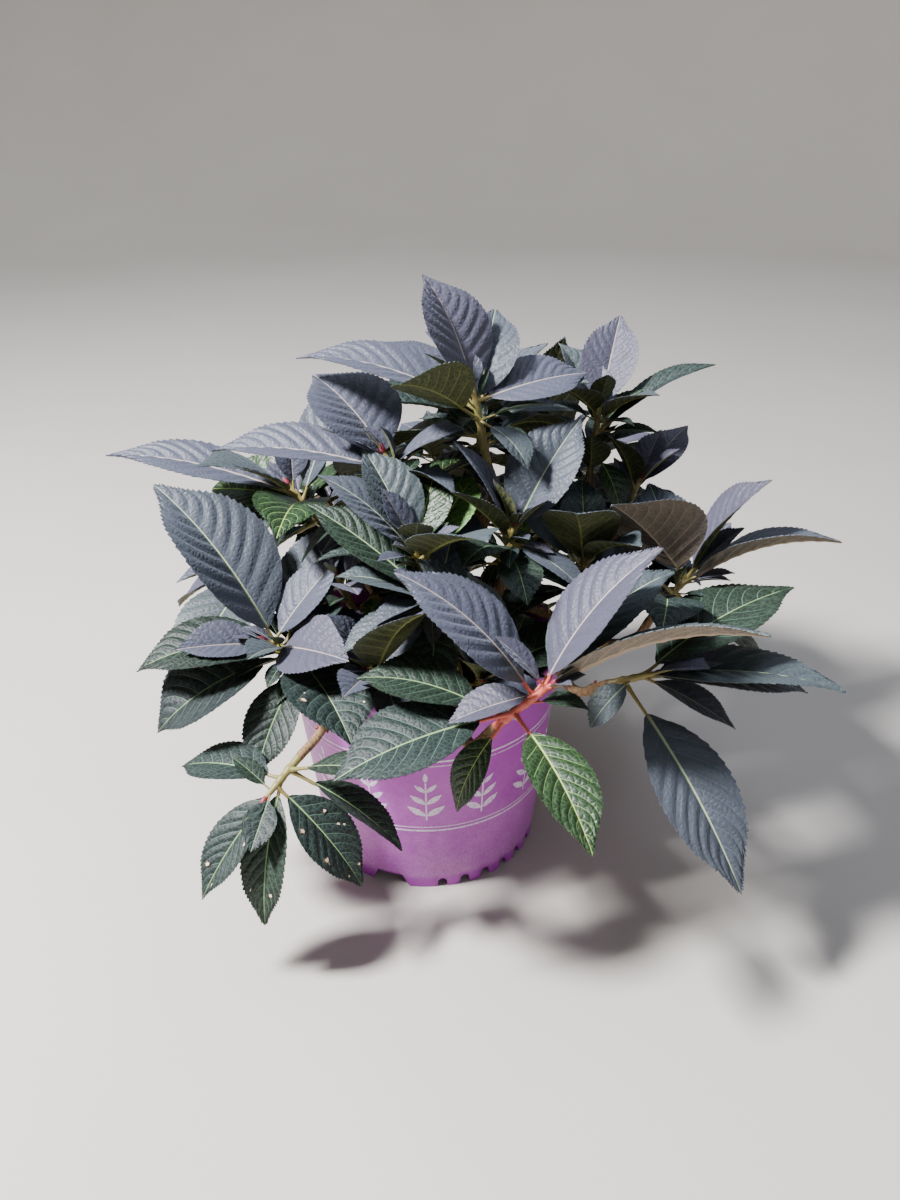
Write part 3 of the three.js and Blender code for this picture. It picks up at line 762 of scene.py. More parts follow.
SHOOTS = {
    "crown_top": ShootSpec((40, 0, 382), (150, 78), 0, 0.85, 7, {
        "1a": (-160, 42, 50), "2a": (131, 57, 94, 0.72), "2b": (19, 5, 88, 0.6, 22),
        "3a": (73, 48, 84, 0.6), "3b": (170, 13, 132, 0.4, -8), "4a": (-145, 26, 84, 0.85, 36),
        "4b": (-50, -26, 56, 0.6), "5a": (31, -12, 76, 0.5), "6b": (100, -30, 40)}),
    "upper_left": ShootSpec((-24, -10, 338), (165, 60), 20, 0.85, 6, {
        "1a": (120, 20, 30), "2a": (143, 36, 88, 0.95), "2b": (-20, 30, 62),
        "3a": (173, 4, 134, 0.4, -10), "3b": (-30, -10, 50)}),
    "upper_right": ShootSpec((142, 80, 342), (60, 75), 30, 0.62, 7, {
        "2a": (64, 52, 84), "2b": (-131, 34, 62), "3a": (120, 62, 72), "3b": (-38, 31, 62),
        "4a": (7, 27, 104, 0.36, 0), "4b": (10, 55, 60), "5a": (-60, -50, 58)}),
    "left": ShootSpec((-114, -60, 213), (-158, 38), 80, 0.9, 6, {
        "1a": (30, 42, 80), "1b": (-160, 6, 68, 0.6, -25), "2a": (150, 46, 144),
        "2b": (-47, 11, 78, 0.75, 30), "3a": (65, 44, 112), "3b": (-100, 12, 52),
        "4a": (-50, -6, 102, 0.8), "4b": (-159, -27, 112, 0.75), "5a": (-115, -48, 92, 0.52),
        "5b": (-168, 7, 120, 0.6)}),
    "low_left": ShootSpec((-108, -150, 141), (-130, -25), 40, 0.7, 5, {
        "1a": (150, 28, 36), "2a": (-25, -49, 92, 0.55), "2b": (-143, -47, 92, 0.44),
        "3a": (-107, -55, 100, 0.36), "3b": (146, -2, 85, 0.55), "4a": (-15, -36, 96, 0.42),
        "4b": (-26, 12, 84, 0.5)}),
    "front": ShootSpec((85, -160, 234), (-20, 47), 100, 0.85, 7, {
        "1a": (165, 45, 48), "1b": (-50, 30, 26), "2a": (15, 50, 118), "2b": (-170, -15, 62),
        "3a": (165, 40, 118), "3b": (-6, 22, 150, 0.32, -30), "4a": (30, 28, 130), "4b": (-10, -5, 40),
        "5a": (-160, -12, 124, 0.62), "5b": (-67, -20, 112, 0.45), "6a": (-150, -61, 72, 0.5)}),
    "right": ShootSpec((205, -20, 245), (20, 45), 60, 0.85, 6, {
        "2a": (-20, 58, 98, 0.66), "2b": (-175, 44, 92, 1, 50), "3a": (-12, 23, 115, 0.5, -20),
        "3b": (100, 30, 95)}),
    "right_low": ShootSpec((164, -100, 204), (-20, 25), 50, 0.9, 5, {
        "2a": (21, 22, 124, 0.75), "2b": (-30, -18, 72, 0.5), "3a": (-15, 4, 138, 0.45),
        "3b": (-150, -45, 46), "4a": (-12, -16, 130, 0.45), "4b": (-62, -38, 160, 0.4)}),
    "centre": ShootSpec((-5, -60, 290), (-150, 72), 90, 0.7, 6, {
        "2a": (110, 47, 84), "2b": (71, 41, 70)}),
    "centre_front": ShootSpec((7, -82, 262), (-110, 60), 90, 0.62, 5, {
        "2a": (155, 29, 112, 0.42), "2b": (-150, -10, 50), "3a": (-160, -6, 74, 0.45),
        "3b": (175, 15, 70)}),
    "centre_right": ShootSpec((68, -40, 292), (-60, 72), 50, 0.75, 6, {
        "2a": (30, 47, 96, 0.62, 25), "2b": (133, 35, 80), "3a": (-148, 53, 72, 0.5),
        "3b": (-35, -20, 64), "4a": (-82, -12, 64), "4b": (-120, 11, 70, 0.6)}),
    "centre_low": ShootSpec((42, -95, 198), (-80, 42), 30, 0.7, 5, {
        "2a": (165, 26, 100, 0.72), "2b": (-50, 10, 60), "3a": (-130, -8, 84, 0.7)}),
    "rim_left": ShootSpec((-38, -92, 206), (-130, 40), 60, 0.85, 4, {
        "2a": (175, 20, 84, 0.7), "3a": (-60, -30, 60), "3b": (20, 16, 92)}),
    "hollow_left": ShootSpec((-62, -38, 255), (-170, 70), 15, 0.72, 5, {
        "3a": (-140, 10, 86), "4a": (-120, -20, 36)}),
    "middle_right": ShootSpec((128, -10, 258), (0, 70), 30, 0.72, 6, {
        "2a": (91, 39, 68), "2b": (-60, 30, 70)}),
    "left_back": ShootSpec((-105, 60, 286), (160, 50), 10, 0.85, 6, {
        "2a": (178, 12, 150, 0.34, -10), "3a": (155, -5, 90, 0.75, -25)}),
    "right_back": ShootSpec((174, 62, 285), (40, 55), 70, 0.75, 6, {
        "2a": (40, 32, 72), "2b": (-140, 20, 60), "3b": (0, -20, 50)}),
    "top_back": ShootSpec((50, 92, 352), (80, 65), 30, 0.85, 6, {
        "2a": (70, 14, 78)}),
    "back_left": ShootSpec((-95, 135, 262), (135, 45), 0, 0.9, 6),
    "back": ShootSpec((10, 165, 285), (95, 50), 45, 0.9, 6),
    "back_right": ShootSpec((120, 160, 262), (50, 45), 20, 0.9, 6),
    "side_left": ShootSpec((-150, 40, 226), (175, 18), 60, 0.8, 4),
    "back_low_left": ShootSpec((-80, 175, 205), (118, 20), 10, 0.85, 4),
    "back_low": ShootSpec((45, 195, 200), (80, 20), 60, 0.85, 4),
    "back_low_right": ShootSpec((165, 120, 208), (35, 20), 30, 0.85, 4),
}

# Canes stand in the mix at a foot and pass their way points to the shoot they are named for.
CANES = {
    "crown_top": ((6, 12), ()), "upper_left": ((-14, 4), ()), "upper_right": ((34, 24), ()),
    "left": ((-34, -14), ()), "rim_left": ((-14, -34), ()), "centre_low": ((8, -52), ()),
    "front": ((20, -32), ((24, -88, 204),)), "right": ((42, -4), ()),
    "right_low": ((36, -26), ((88, -56, 200),)), "left_back": ((-30, 24), ()), "back": ((4, 40), ()),
    "centre_right": ((14, -10), ()),
}

# Branches leave their cane at one of its steps, counted from its foot.
BRANCHES = {
    "top_back": ("crown_top", 4, ()), "centre": ("upper_left", 3, ()), "hollow_left": ("upper_left", 2, ()),
    "right_back": ("upper_right", 4, ()), "back_right": ("upper_right", 3, ()),
    "back_low_right": ("upper_right", 1, ((108, 80, 206),)),
    "low_left": ("left", 3, ((-66, -96, 191),)), "side_left": ("left_back", 3, ()),
    "middle_right": ("right", 3, ()), "back_left": ("left_back", 4, ()),
    "back_low_left": ("back", 3, ((-40, 108, 214),)), "back_low": ("back", 4, ((30, 126, 216),)),
    "centre_front": ("centre_right", 3, ()),
}


def chance(*keys: int) -> float:
    """Draws a repeatable share, as the part's source does.

    Args:
        *keys: The whole numbers that it is drawn for.

    Returns:
        A number between 0 and 1.
    """
    total = 0.37
    for i, key in enumerate(keys):
        total += key * (12.9898 + 65.2331 * i)
    wide = math.sin(total) * 43758.5453
    return wide - math.floor(wide)


def leaf_key(pair: int, side: int) -> str:
    """Returns the key of a leaf on its shoot."""
    return f"{pair}{'ab'[side]}"


# A stalk's length without the share that grows with its leaf, and what a degree of bend adds to a blade.
SHORTEST_STALK = 4.0
CURVE_PER_DEGREE = 0.0018

# How far a bent blade rises at its foot, as a share of its bend, and how late it bends.
RISE_SHARE = 0.42
BEND_EASE = 1.2

# A blade's width grows by the first power from its foot, and falls by the second towards its tip.
WIDTH_POWERS = (0.9, 1.05)


@dataclass(frozen=True)
class LeafPlan:
    """One leaf: where its stalk starts, the way it points, its reach and how it hangs."""

    shoot: str
    pair: int
    side: int
    root: Place
    petiole_share: float
    azimuth: float
    pitch: float
    reach: float
    breadth: float
    bend: float
    fold: float
    twist: float

    @property
    def petiole(self) -> float:
        """Returns the length of the stalk."""
        return SHORTEST_STALK + self.petiole_share * self.reach

    @property
    def length(self) -> float:
        """Returns the length of the blade along its curve."""
        return (self.reach - self.petiole) * (1 + CURVE_PER_DEGREE * self.bend)

    @property
    def label(self) -> str:
        """Returns the leaf's name: its shoot, its pair and its side."""
        return f"{self.shoot} {leaf_key(self.pair, self.side)}"

    def turned(self, aside: float, lift: float, share: float) -> "LeafPlan":
        """Returns the leaf turned aside, lifted and drawn in."""
        return replace(self, azimuth=self.azimuth + aside, pitch=self.pitch + lift, reach=self.reach * share)


class BladeCourse:
    """Where a leaf's blade runs: its place and its directions at any share of its length."""

    def __init__(self, plan: LeafPlan, steps: int) -> None:
        """Works out the course.

        Args:
            plan: The leaf.
            steps: How many straight steps the curve is made of.
        """
        pitch = math.radians(plan.pitch + RISE_SHARE * plan.bend)
        twist = math.radians(plan.twist)
        out = heading(plan.azimuth, 0)
        self.forward = out * math.cos(pitch) + UP * math.sin(pitch)
        upright = UP * math.cos(pitch) - out * math.sin(pitch)
        self.upper = upright * math.cos(twist) + np.cross(self.forward, upright) * math.sin(twist)
        self.left = np.cross(self.upper, self.forward)
        self.bend = math.radians(plan.bend)
        self.steps = steps
        runs, _ = self.directions((np.arange(steps) + 0.5) / steps)
        start = np.array(plan.root) + self.forward * plan.petiole
        self.places = start + np.vstack([np.zeros(3), np.cumsum(runs, axis=0)]) * plan.length / steps

    def directions(self, shares: Array) -> tuple[Array, Array]:
        """Works out which way the blade runs and faces.

        Args:
            shares: Shares of its length.

        Returns:
            The forward and the upper direction at each.
        """
        angles = (-self.bend * shares ** BEND_EASE)[..., None]
        forward = self.forward * np.cos(angles) + self.upper * np.sin(angles)
        upper = self.upper * np.cos(angles) - self.forward * np.sin(angles)
        return forward, upper

    def at(self, shares: Array) -> Array:
        """Returns the place on the midrib at each share."""
        stations = np.linspace(0, 1, self.steps + 1)
        return np.stack([np.interp(shares, stations, self.places[:, k]) for k in range(3)], -1)


@dataclass(frozen=True)
class GrowthRule:
    """How the shrub grows. The part's source holds the same rule, so the leaves lie where its solids do."""

    reach: float = 138.0
    breadth: float = 0.6
    young_share: float = 0.07
    old_share: float = 0.16
    old_from: int = 4
    drop: tuple[float, ...] = (2, 5, 10, 16, 24, 36, 44, 58)
    pair_size: tuple[float, ...] = (0.22, 0.45, 0.8, 1.0, 0.95, 0.85, 0.8, 0.7)
    opening: tuple[float, ...] = (12, 30, 50, 68, 82, 95, 104, 110)
    bend: tuple[float, ...] = (6, 16, 26, 34, 40, 44, 44, 44)
    sag: float = 8.0
    fold: float = 15.0
    twist: float = 12.0
    turn_varies: float = 14.0
    opening_varies: float = 9.0
    reach_varies: float = 0.1
    bend_varies: float = 0.35
    fold_varies: float = 7.0
    drawn_in: tuple[float, ...] = (1, 0.82, 0.66)
    turns_aside: tuple[Span, ...] = (
        (0, 0), (0, 8), (0, -8), (10, 0), (-10, 0), (10, 8), (-10, 8), (10, -8), (-10, -8),
        (0, 16), (0, -16), (20, 0), (-20, 0), (20, 12), (-20, 12), (0, 26), (30, 8), (-30, 8),
        (0, 38), (40, 0), (-40, 0), (35, 24), (-35, 24), (50, 12), (-50, 12),
    )
    solid_steps: int = 24
    tolerance: float = 0.05
    stem_tip: float = 1.6
    stem_foot: float = 3.1
    tail: float = 12.0
    cane_foot: float = 5.0
    branch_foot: float = 3.4
    branch_gap: float = 0.4
    clearance: float = 0.3
    mix_top: float = 165.0
    cane_steps: int = 7

    def stem(self, spec: ShootSpec) -> tuple[Array, Array, Array]:
        """Returns a shoot's axis, growing tip and foot."""
        axis, tip = heading(*spec.lean), np.array(spec.tip, float)
        return axis, tip, tip - axis * (self.drop[spec.pairs - 1] + self.tail)

    def leaves(self, name: str) -> list[LeafPlan]:
        """Lists the leaves of one shoot before anything is turned aside.

        Args:
            name: The shoot.

        Returns:
            Its leaves, from the growing tip down.
        """
        spec = SHOOTS[name]
        index = list(SHOOTS).index(name) + 1
        axis, tip, _ = self.stem(spec)
        across = unit(np.cross(UP, axis))
        over = np.cross(axis, across)
        plans = []
        for pair in range(spec.pairs):
            for side in range(2):
                vary = [2 * chance(index, pair, side, draw) - 1 for draw in range(7)]
                around = math.radians(spec.turn + 90 * pair + 180 * side + self.turn_varies * vary[1])
                spoke = across * math.cos(around) + over * math.sin(around)
                opening = math.radians(self.opening[pair] + self.opening_varies * vary[2])
                out = axis * math.cos(opening) + spoke * math.sin(opening)
                azimuth, elevation = bearing(out)
                reach = self.reach * spec.size * self.pair_size[pair] * (1 + self.reach_varies * vary[3])
                ruled = (azimuth, elevation - self.sag, reach)
                own = spec.own.get(leaf_key(pair, side), ruled)
                plans.append(LeafPlan(
                    shoot=name, pair=pair, side=side, root=tuple(tip - axis * self.drop[pair]),
                    petiole_share=self.young_share if pair < self.old_from else self.old_share,
                    azimuth=own[0], pitch=own[1], reach=own[2],
                    breadth=own[3] if len(own) > 3 else self.breadth,
                    bend=self.bend[pair] * (1 + self.bend_varies * vary[4]),
                    fold=self.fold + self.fold_varies * vary[5],
                    twist=own[4] if len(own) > 4 else self.twist * vary[6],
                ))
        return plans

    def fitted(self, plan: LeafPlan, solid: Array) -> Optional[LeafPlan]:
        """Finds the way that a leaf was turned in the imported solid.

        Args:
            plan: The leaf as the rule gives it.
            solid: The points of its shoot's CAD node.

        Returns:
            The leaf as it stands, or None where the solid has no such leaf.
        """
        for share in self.drawn_in:
            for aside, lift in self.turns_aside:
                tried = plan.turned(aside, lift, share)
                tip = BladeCourse(tried, self.solid_steps).places[-1]
                if np.min(np.sum((solid - tip) ** 2, axis=1)) < self.tolerance ** 2:
                    return tried
        return None


@dataclass(frozen=True)
class Course:
    """A limb's smooth course through its knots, eased by the root of their spacing."""

    knots: tuple[Place, ...]
    set_out: Place
    arrive: Place

    def point(self, share: float) -> Array:
        """Works out a place on the course.

        Args:
            share: The share of the way to it.

        Returns:
            The place.
        """
        knots = np.array(self.knots, float)
        last = len(knots) - 1
        i = min(int(share * last), last - 1)
        t = share * last - i
        before = knots[i - 1] if i > 0 else 2 * knots[0] - knots[1]
        after = knots[i + 2] if i + 2 <= last else 2 * knots[last] - knots[last - 1]
        run = [before, knots[i], knots[i + 1], after]
        d = [max(float(np.linalg.norm(b - a)) ** 0.5, 0.01) for a, b in zip(run, run[1:])]
        x0, x1, x2, x3 = run
        leave = ((x1 - x0) / d[0] - (x2 - x0) / (d[0] + d[1]) + (x2 - x1) / d[1]) * d[1]
        reach = ((x2 - x1) / d[1] - (x3 - x1) / (d[1] + d[2]) + (x3 - x2) / d[2]) * d[1]
        cubic = 2 * x1 - 2 * x2 + leave + reach
        square = 3 * x2 - 3 * x1 - 2 * leave - reach
        return x1 + leave * t + square * t * t + cubic * t ** 3

    def tangent(self, share: float) -> Array:
        """Returns the direction of the course at a share."""
        low, high = max(share - 1e-4, 0.0), min(share + 1e-4, 1.0)
        return unit(self.point(high) - self.point(low))

    def places(self, spacing: float) -> Array:
        """Places points along the course.

        Args:
            spacing: About how far apart they are.

        Returns:
            The places, one row each.
        """
        rough = np.array([self.point(s) for s in np.linspace(0, 1, 60)])
        count = max(int(np.sum(np.linalg.norm(np.diff(rough, axis=0), axis=1)) / spacing), 8)
        return np.array([self.point(s) for s in np.linspace(0, 1, count)])


@dataclass(frozen=True)
class Limbs:
    """The canes and their branches, with bark in relief, leaf scars and dormant buds."""

    rule: GrowthRule
    sides: int = 15
    ring_gap: float = 2.0
    joint_gap: float = 27.0
    longest_lead: float = 25.0
    sunk: float = 7.0
    flare: float = 1.6
    flare_reach: float = 7.0
    bark: float = 0.15
    ridge: float = 0.035
    fine_ridge: float = 0.02
    unevenness: float = 0.012
    joint_swell: float = 0.16
    joint_reach: float = 3.2
    scar_swell: float = 0.22
    scar_reach: float = 2.2
    bud_above: float = 1.5
    bud_size: Span = (3.6, 1.3)
    tip_steps: Place = (1.2, 2.4, 3.4)
    tip_shares: Place = (0.97, 0.88, 0.6)

    def course(self, start: Array, set_out: Array, way: Iterable[Sequence[float]], shoot: str) -> Course:
        """Lays a limb's course to just short of the foot of its shoot.

        Args:
            start: Where the limb starts.
            set_out: The direction it starts in.
            way: The places it passes.
            shoot: The shoot that it carries.

        Returns:
            The course.
        """
        axis, _, foot = self.rule.stem(SHOOTS[shoot])
        end = foot - axis * self.rule.clearance
        lead = min(self.longest_lead, float(np.linalg.norm(end - start)) / 4)
        knots = [start, start + set_out * lead, *[np.array(w, float) for w in way], end - axis * lead, end]
        return Course(tuple(map(tuple, knots)), tuple(set_out), tuple(axis))

    def cane_course(self, name: str) -> Course:
        """Lays the course of a cane.

        Args:
            name: The shoot that it carries.

        Returns:
            The course.
        """
        (x, y), way = CANES[name]
        start = np.array([x, y, self.rule.mix_top + self.rule.clearance])
        return self.course(start, UP, way, name)

    def branch_course(self, name: str) -> tuple[Course, Array]:
        """Lays the course of a branch.

        Args:
            name: The shoot that it carries.

        Returns:
            The course, and the place inside its cane that it grows from.
        """
        cane, step, way = BRANCHES[name]
        share = step / self.rule.cane_steps
        trunk = self.cane_course(cane)
        joint, run = trunk.point(share), trunk.tangent(share)
        foot = self.rule.stem(SHOOTS[name])[2]
        aim = (np.array(way[0], float) if way else foot) - joint
        set_out = unit(aim - run * (aim @ run))
        radius = self.rule.cane_foot + (self.rule.stem_foot - self.rule.cane_foot) * share
        return self.course(joint + set_out * (radius + self.rule.branch_gap), set_out, way, name), joint

    def relief(self, places: Array, radii: Array, seed: int) -> tuple[Array, list[tuple[int, float]]]:
        """Raises bark ridges, swollen joints and leaf scars on a limb.

        Args:
            places: The limb's course.
            radii: Its plain radius at each place.
            seed: A number of its own for the limb.

        Returns:
            A radius for each ring and side, and each dormant bud's ring and angle.
        """
        rng = np.random.default_rng(seed)
        walk = walked(places)
        l, a = walk[:, None], full_turn(self.sides)[None, :]
        # Five coarse ridges wander round the limb, and eight fine ones wind up it.
        ridges = self.ridge * np.sin(5 * a + 1.3 * np.sin(l / 9.0) + seed)
        ridges = ridges + self.fine_ridge * np.sin(8 * a - l / 4.0)
        ridges = ridges + rng.normal(0, self.unevenness, (len(walk), self.sides))
        surface = 1 + ridges
        buds = []
        joints = np.arange(self.joint_gap * 0.6, walk[-1] - 8, self.joint_gap)
        for number, at in enumerate(joints):
            near = np.exp(-((l - at) / self.joint_reach) ** 2)
            side = (number % 2) * np.pi / 2 + 0.4 * seed
            scar = np.cos(a - side) ** 8 * np.exp(-((l - at + self.bud_above) / self.scar_reach) ** 2)
            surface = surface + self.joint_swell * near + self.scar_swell * scar
            ring = int(np.argmin(abs(walk - at - self.bud_above)))
            buds += [(ring, side), (ring, side + np.pi)]
        return surface * radii[:, None], buds

    def limb(self, name: str, course: Course, inside: Array, foot: float, node: str,
             seed: int) -> list[tuple[Array, Array]]:
        """Builds one limb's piece.

        Args:
            name: The piece's name.
            course: The limb's course.
            inside: Where it starts, sunk in the mix or in its cane.
            foot: Its radius at the foot.
            node: The CAD node it stands for.
            seed: A number of its own for the limb.

        Returns:
            The place of each dormant bud and the direction away from the limb.
        """
        run = course.places(self.ring_gap)
        lead_in = np.linspace(inside, run[0], 5)[:-1]
        lead_out = run[-1] + np.outer(self.tip_steps, course.arrive)
        places = np.vstack([lead_in, run, lead_out])
        shares = np.concatenate([np.zeros(4), np.linspace(0, 1, len(run)), np.ones(3)])
        radii = foot + (self.rule.stem_foot + self.bark - foot) * shares
        radii = radii + self.flare * np.exp(-(walked(places) / self.flare_reach) ** 2)
        radii[-3:] *= np.array(self.tip_shares)
        surface, buds = self.relief(places, radii, seed)
        shell = Shell()
        rings = tube_rings(places, surface, self.sides, np.array(course.set_out), np.array(course.arrive))
        shell.grid(rings, OLD_BARK)
        sprouting = []
        for ring, angle in buds:
            side = int(round(angle / (2 * np.pi) * self.sides)) % self.sides
            foot_place = rings[ring, side]
            away = unit(foot_place - places[ring])
            point = unit(away * 0.8 + unit(places[min(ring + 1, len(places) - 1)] - places[ring]))
            add_bud(shell, foot_place - away * 0.7, point, *self.bud_size, BUD_SCALE)
            sprouting.append((foot_place, away))
        shell.piece(name, Crease.GROWN, "canes", node)
        return sprouting

    def build(self) -> list[tuple[Array, Array]]:
        """Builds every cane and branch.

        Returns:
            The place of each of their buds and the direction away from its limb.
        """
        buds = []
        for number, name in enumerate(CANES):
            course = self.cane_course(name)
            inside = np.array(course.knots[0]) - UP * self.sunk
            foot = self.rule.cane_foot
            buds += self.limb(f"bark_of_cane_{name}", course, inside, foot, f"cane_{name}", number + 1)
        for number, name in enumerate(BRANCHES):
            course, joint = self.branch_course(name)
            foot = self.rule.branch_foot
            buds += self.limb(f"bark_of_branch_{name}", course, joint, foot, f"branch_{name}", number + 31)
        return buds


def blade_width(shares: Array) -> Array:
    """Works out the outline of half a blade, drawn to a long point at its tip.

    Args:
        shares: Shares of the blade's length.

    Returns:
        The half width at each, 1 at its widest.
    """
    grow, fall = WIDTH_POWERS
    widest = grow / (grow + fall)
    peak = widest ** grow * (1 - widest) ** fall
    shares = np.clip(shares, 0, 1)
    point = 1 - 0.42 * smooth(shares, 0.7, 0.97)
    return shares ** grow * (1 - shares) ** fall / peak * point


@dataclass(frozen=True)
class BladePattern:
    """How a blade is drawn: its side veins, the teeth between two of them, and its columns."""

    up_to: float
    veins: int
    teeth: int
    columns: int

    @property
    def on_vein(self) -> Array:
        """Returns whether each tooth stands at the end of a side vein."""
        return np.arange(self.veins * self.teeth) % self.teeth == 0


@dataclass(frozen=True)
class BladeGrid:
    """The rows and columns of points that a blade is made of, laid out on its length and half width."""

    pattern: BladePattern
    size: float
    scale: float
    gap: float
    rows: Array
    wide: Array
    hand: Array

    @property
    def centre(self) -> int:
        """Returns the column on the midrib."""
        return self.pattern.columns + 1

    @property
    def tooth_tips(self) -> Array:
        """Finds the rows where a tooth stands out.

        Returns:
            Whether one does, for each row.
        """
        tips = np.zeros(len(self.rows), bool)
        tips[1:-2:2] = True
        return tips

    @property
    def vein_rows(self) -> Array:
        """Finds the rows at the edge of a side vein.

        Returns:
            Whether each row is one.
        """
        on_edge = np.zeros(len(self.rows), bool)
        on_edge[1:-2] = np.repeat(self.pattern.on_vein, 2)
        return on_edge


@dataclass(frozen=True)
class LeafMaker:
    """Makes quilted, toothed and folded blades with their midrib, side veins and stalk.

    Lengths in millimetres hold for a blade of full size, and shrink with it.
    """

    patterns: tuple[BladePattern, ...] = (
        BladePattern(24, 4, 2, 2), BladePattern(50, 5, 2, 3), BladePattern(66, 7, 2, 4),
        BladePattern(88, 8, 3, 5), BladePattern(1e9, 9, 3, 6),
    )
    full_size: float = 110.0
    foot_row: float = 0.008
    first_vein: float = 0.035
    last_vein: float = 0.955
    end_rows: Span = (0.975, 0.992)
    vein_sweep: float = 0.26
    tooth_spread: float = 0.14
    margin_spread: float = 0.2
    quilt: float = 0.0155
    cushion: tuple[Span, ...] = ((0, 0), (0.12, 0.8), (0.3, 1), (0.7, 0.9), (0.9, 0.6), (1, 0.15))
    wave: float = 0.007
    curl: Span = (-0.07, 0.05)
    tooth: float = 0.0105
    tooth_hook: float = 0.3
    midrib: float = 1.0
    midrib_most: float = 0.35
    midrib_taper: float = 0.72
    midrib_sunk: float = 0.35
    midrib_below: float = 1.15
    vein: float = 0.4
    vein_taper: float = 0.55
    vein_below: float = 0.35
    thickness: float = 0.42
    stalk_foot: float = 2.1
    stalk_shares: tuple[float, ...] = (1, 1, 0.82, 0.68, 0.62, 0.6, 0.62, 0.3)
    stalk_below: Span = (0.7, 0.9)
    course_steps: int = 96

    def stalk(self, shell: Shell, plan: LeafPlan, finish: Finish) -> None:
        """Adds the stalk, from inside the stem to the underside of the blade's foot.

        Args:
            shell: The mesh that takes it.
            plan: The leaf.
            finish: The stalk's finish.
        """
        course = BladeCourse(plan, self.course_steps)
        scale = float(np.clip(plan.reach / 80, 0.5, 1))
        end = course.at(np.array([0.05]))[0] - course.upper * (self.stalk_below[1] * scale)
        start = course.places[0] - course.upper * (self.stalk_below[0] * scale)
        places = np.vstack([np.linspace(plan.root, start, len(self.stalk_shares) - 1), end])
        radii = scale * np.array(self.stalk_shares) * self.stalk_foot
        shell.grid(tube_rings(places, radii, 9, course.forward, course.forward), finish)

    def laid_out(self, plan: LeafPlan) -> BladeGrid:
        """Lays out a blade's points: two rows at each vein and tooth, and columns closer at the edge.

        Args:
            plan: The leaf.

        Returns:
            Its rows and columns.
        """
        pattern = next(p for p in self.patterns if plan.reach < p.up_to)
        size = plan.length
        scale = size / self.full_size
        half = np.linspace(0, 1, pattern.columns + 1) ** 0.92
        wide = np.concatenate([half[::-1], [0], half])
        hand = np.concatenate([np.ones(len(half)), [0], -np.ones(len(half))])
        count = pattern.veins * pattern.teeth
        gap = (self.last_vein - self.first_vein) / count
        teeth = (self.first_vein + gap * np.arange(count))[:, None]
        vein = self.vein * scale / size * (1 - self.vein_taper * wide)
        spread = np.where(pattern.on_vein[:, None], vein, self.tooth_spread * gap)
        spread[:, [0, -1]] = self.margin_spread * gap
        pairs = np.stack([teeth - spread, teeth + spread], 1).reshape(-1, len(wide))
        first, *last = [np.full((1, len(wide)), share) for share in (self.foot_row, *self.end_rows)]
        return BladeGrid(pattern, size, scale, gap, np.vstack([first, pairs, *last]), wide, hand)

    def outline(self, grid: BladeGrid, breadth: float, rng: Draws) -> tuple[Array, Array, Array]:
        """Works out the blade's toothed outline, with columns swept towards the tip.

        Args:
            grid: The blade's rows and columns.
            breadth: The blade's full width as a share of its length.
            rng: The leaf's own random draws.

        Returns:
            For each point its share of the length, its distance from the midrib and the half width there.
        """
        share = grid.rows + self.vein_sweep * np.sin(np.pi * grid.rows ** 0.8) * grid.wide ** 1.2
        full = blade_width(share) * breadth * grid.size / 2
        rib = self.midrib * grid.scale * (1 - self.midrib_taper * share ** 0.8)
        rib = np.minimum(rib, self.midrib_most * full)
        across = np.where(grid.hand == 0, 0.0, rib + (full - rib) * grid.wide)
        jag = self.tooth * grid.size * (0.75 + 0.5 * rng.random(len(grid.rows))) * grid.tooth_tips
        jag = jag * smooth(share[:, 0], 0.05, 0.16)
        across[:, 0] += jag
        across[:, -1] += jag * (0.8 + 0.4 * rng.random(len(grid.rows)))
        share[:, [0, -1]] += (self.tooth_hook * grid.gap * grid.tooth_tips)[:, None]
        return np.minimum(share, 0.998), across, full

    def height(self, grid: BladeGrid, share: Array, full: Array, rng: Draws) -> Array:
        """Works out the blade's relief: cushions between the veins, a wave and a curled edge.

        Args:
            grid: The blade's rows and columns.
            share: Each point's share of the length.
            full: The half width at each point.
            rng: The leaf's own random draws.

        Returns:
            How far each point is raised.
        """
        phase = (grid.rows - self.first_vein) / (grid.gap * grid.pattern.teeth)
        arch = np.abs(np.sin(np.pi * phase)) ** 0.75
        window = np.interp(grid.wide, *zip(*self.cushion))
        fade = np.sin(np.pi * np.clip(share, 0, 1)) ** 0.6
        ripple = np.sin(2 * np.pi * (1.4 * share + rng.random()) + 2.1 * grid.hand)
        wave = self.wave * grid.size * grid.wide ** 2 * ripple
        curl = rng.uniform(*self.curl) * full * grid.wide ** 2
        height = self.quilt * grid.size * arch * window * fade + wave + curl
        height[:, grid.centre] = -self.midrib_sunk * grid.scale * (1 - share[:, grid.centre])
        return height

    def depth(self, grid: BladeGrid, share: Array) -> Array:
        """Works out the blade's thickness: more at the side veins, and most at the midrib.

        Args:
            grid: The blade's rows and columns.
            share: Each point's share of the length.

        Returns:
            The thickness at each point.
        """
        deep = np.full(share.shape, self.thickness * max(grid.scale, 0.5))
        keel = self.vein_below * grid.scale * grid.vein_rows[:, None] * (1 - grid.wide)
        deep = deep + keel * (grid.wide < 0.95)
        deep[:, grid.centre] += (self.midrib_below * grid.scale
                                 * (1 - self.midrib_taper * share[:, grid.centre]))
        return deep

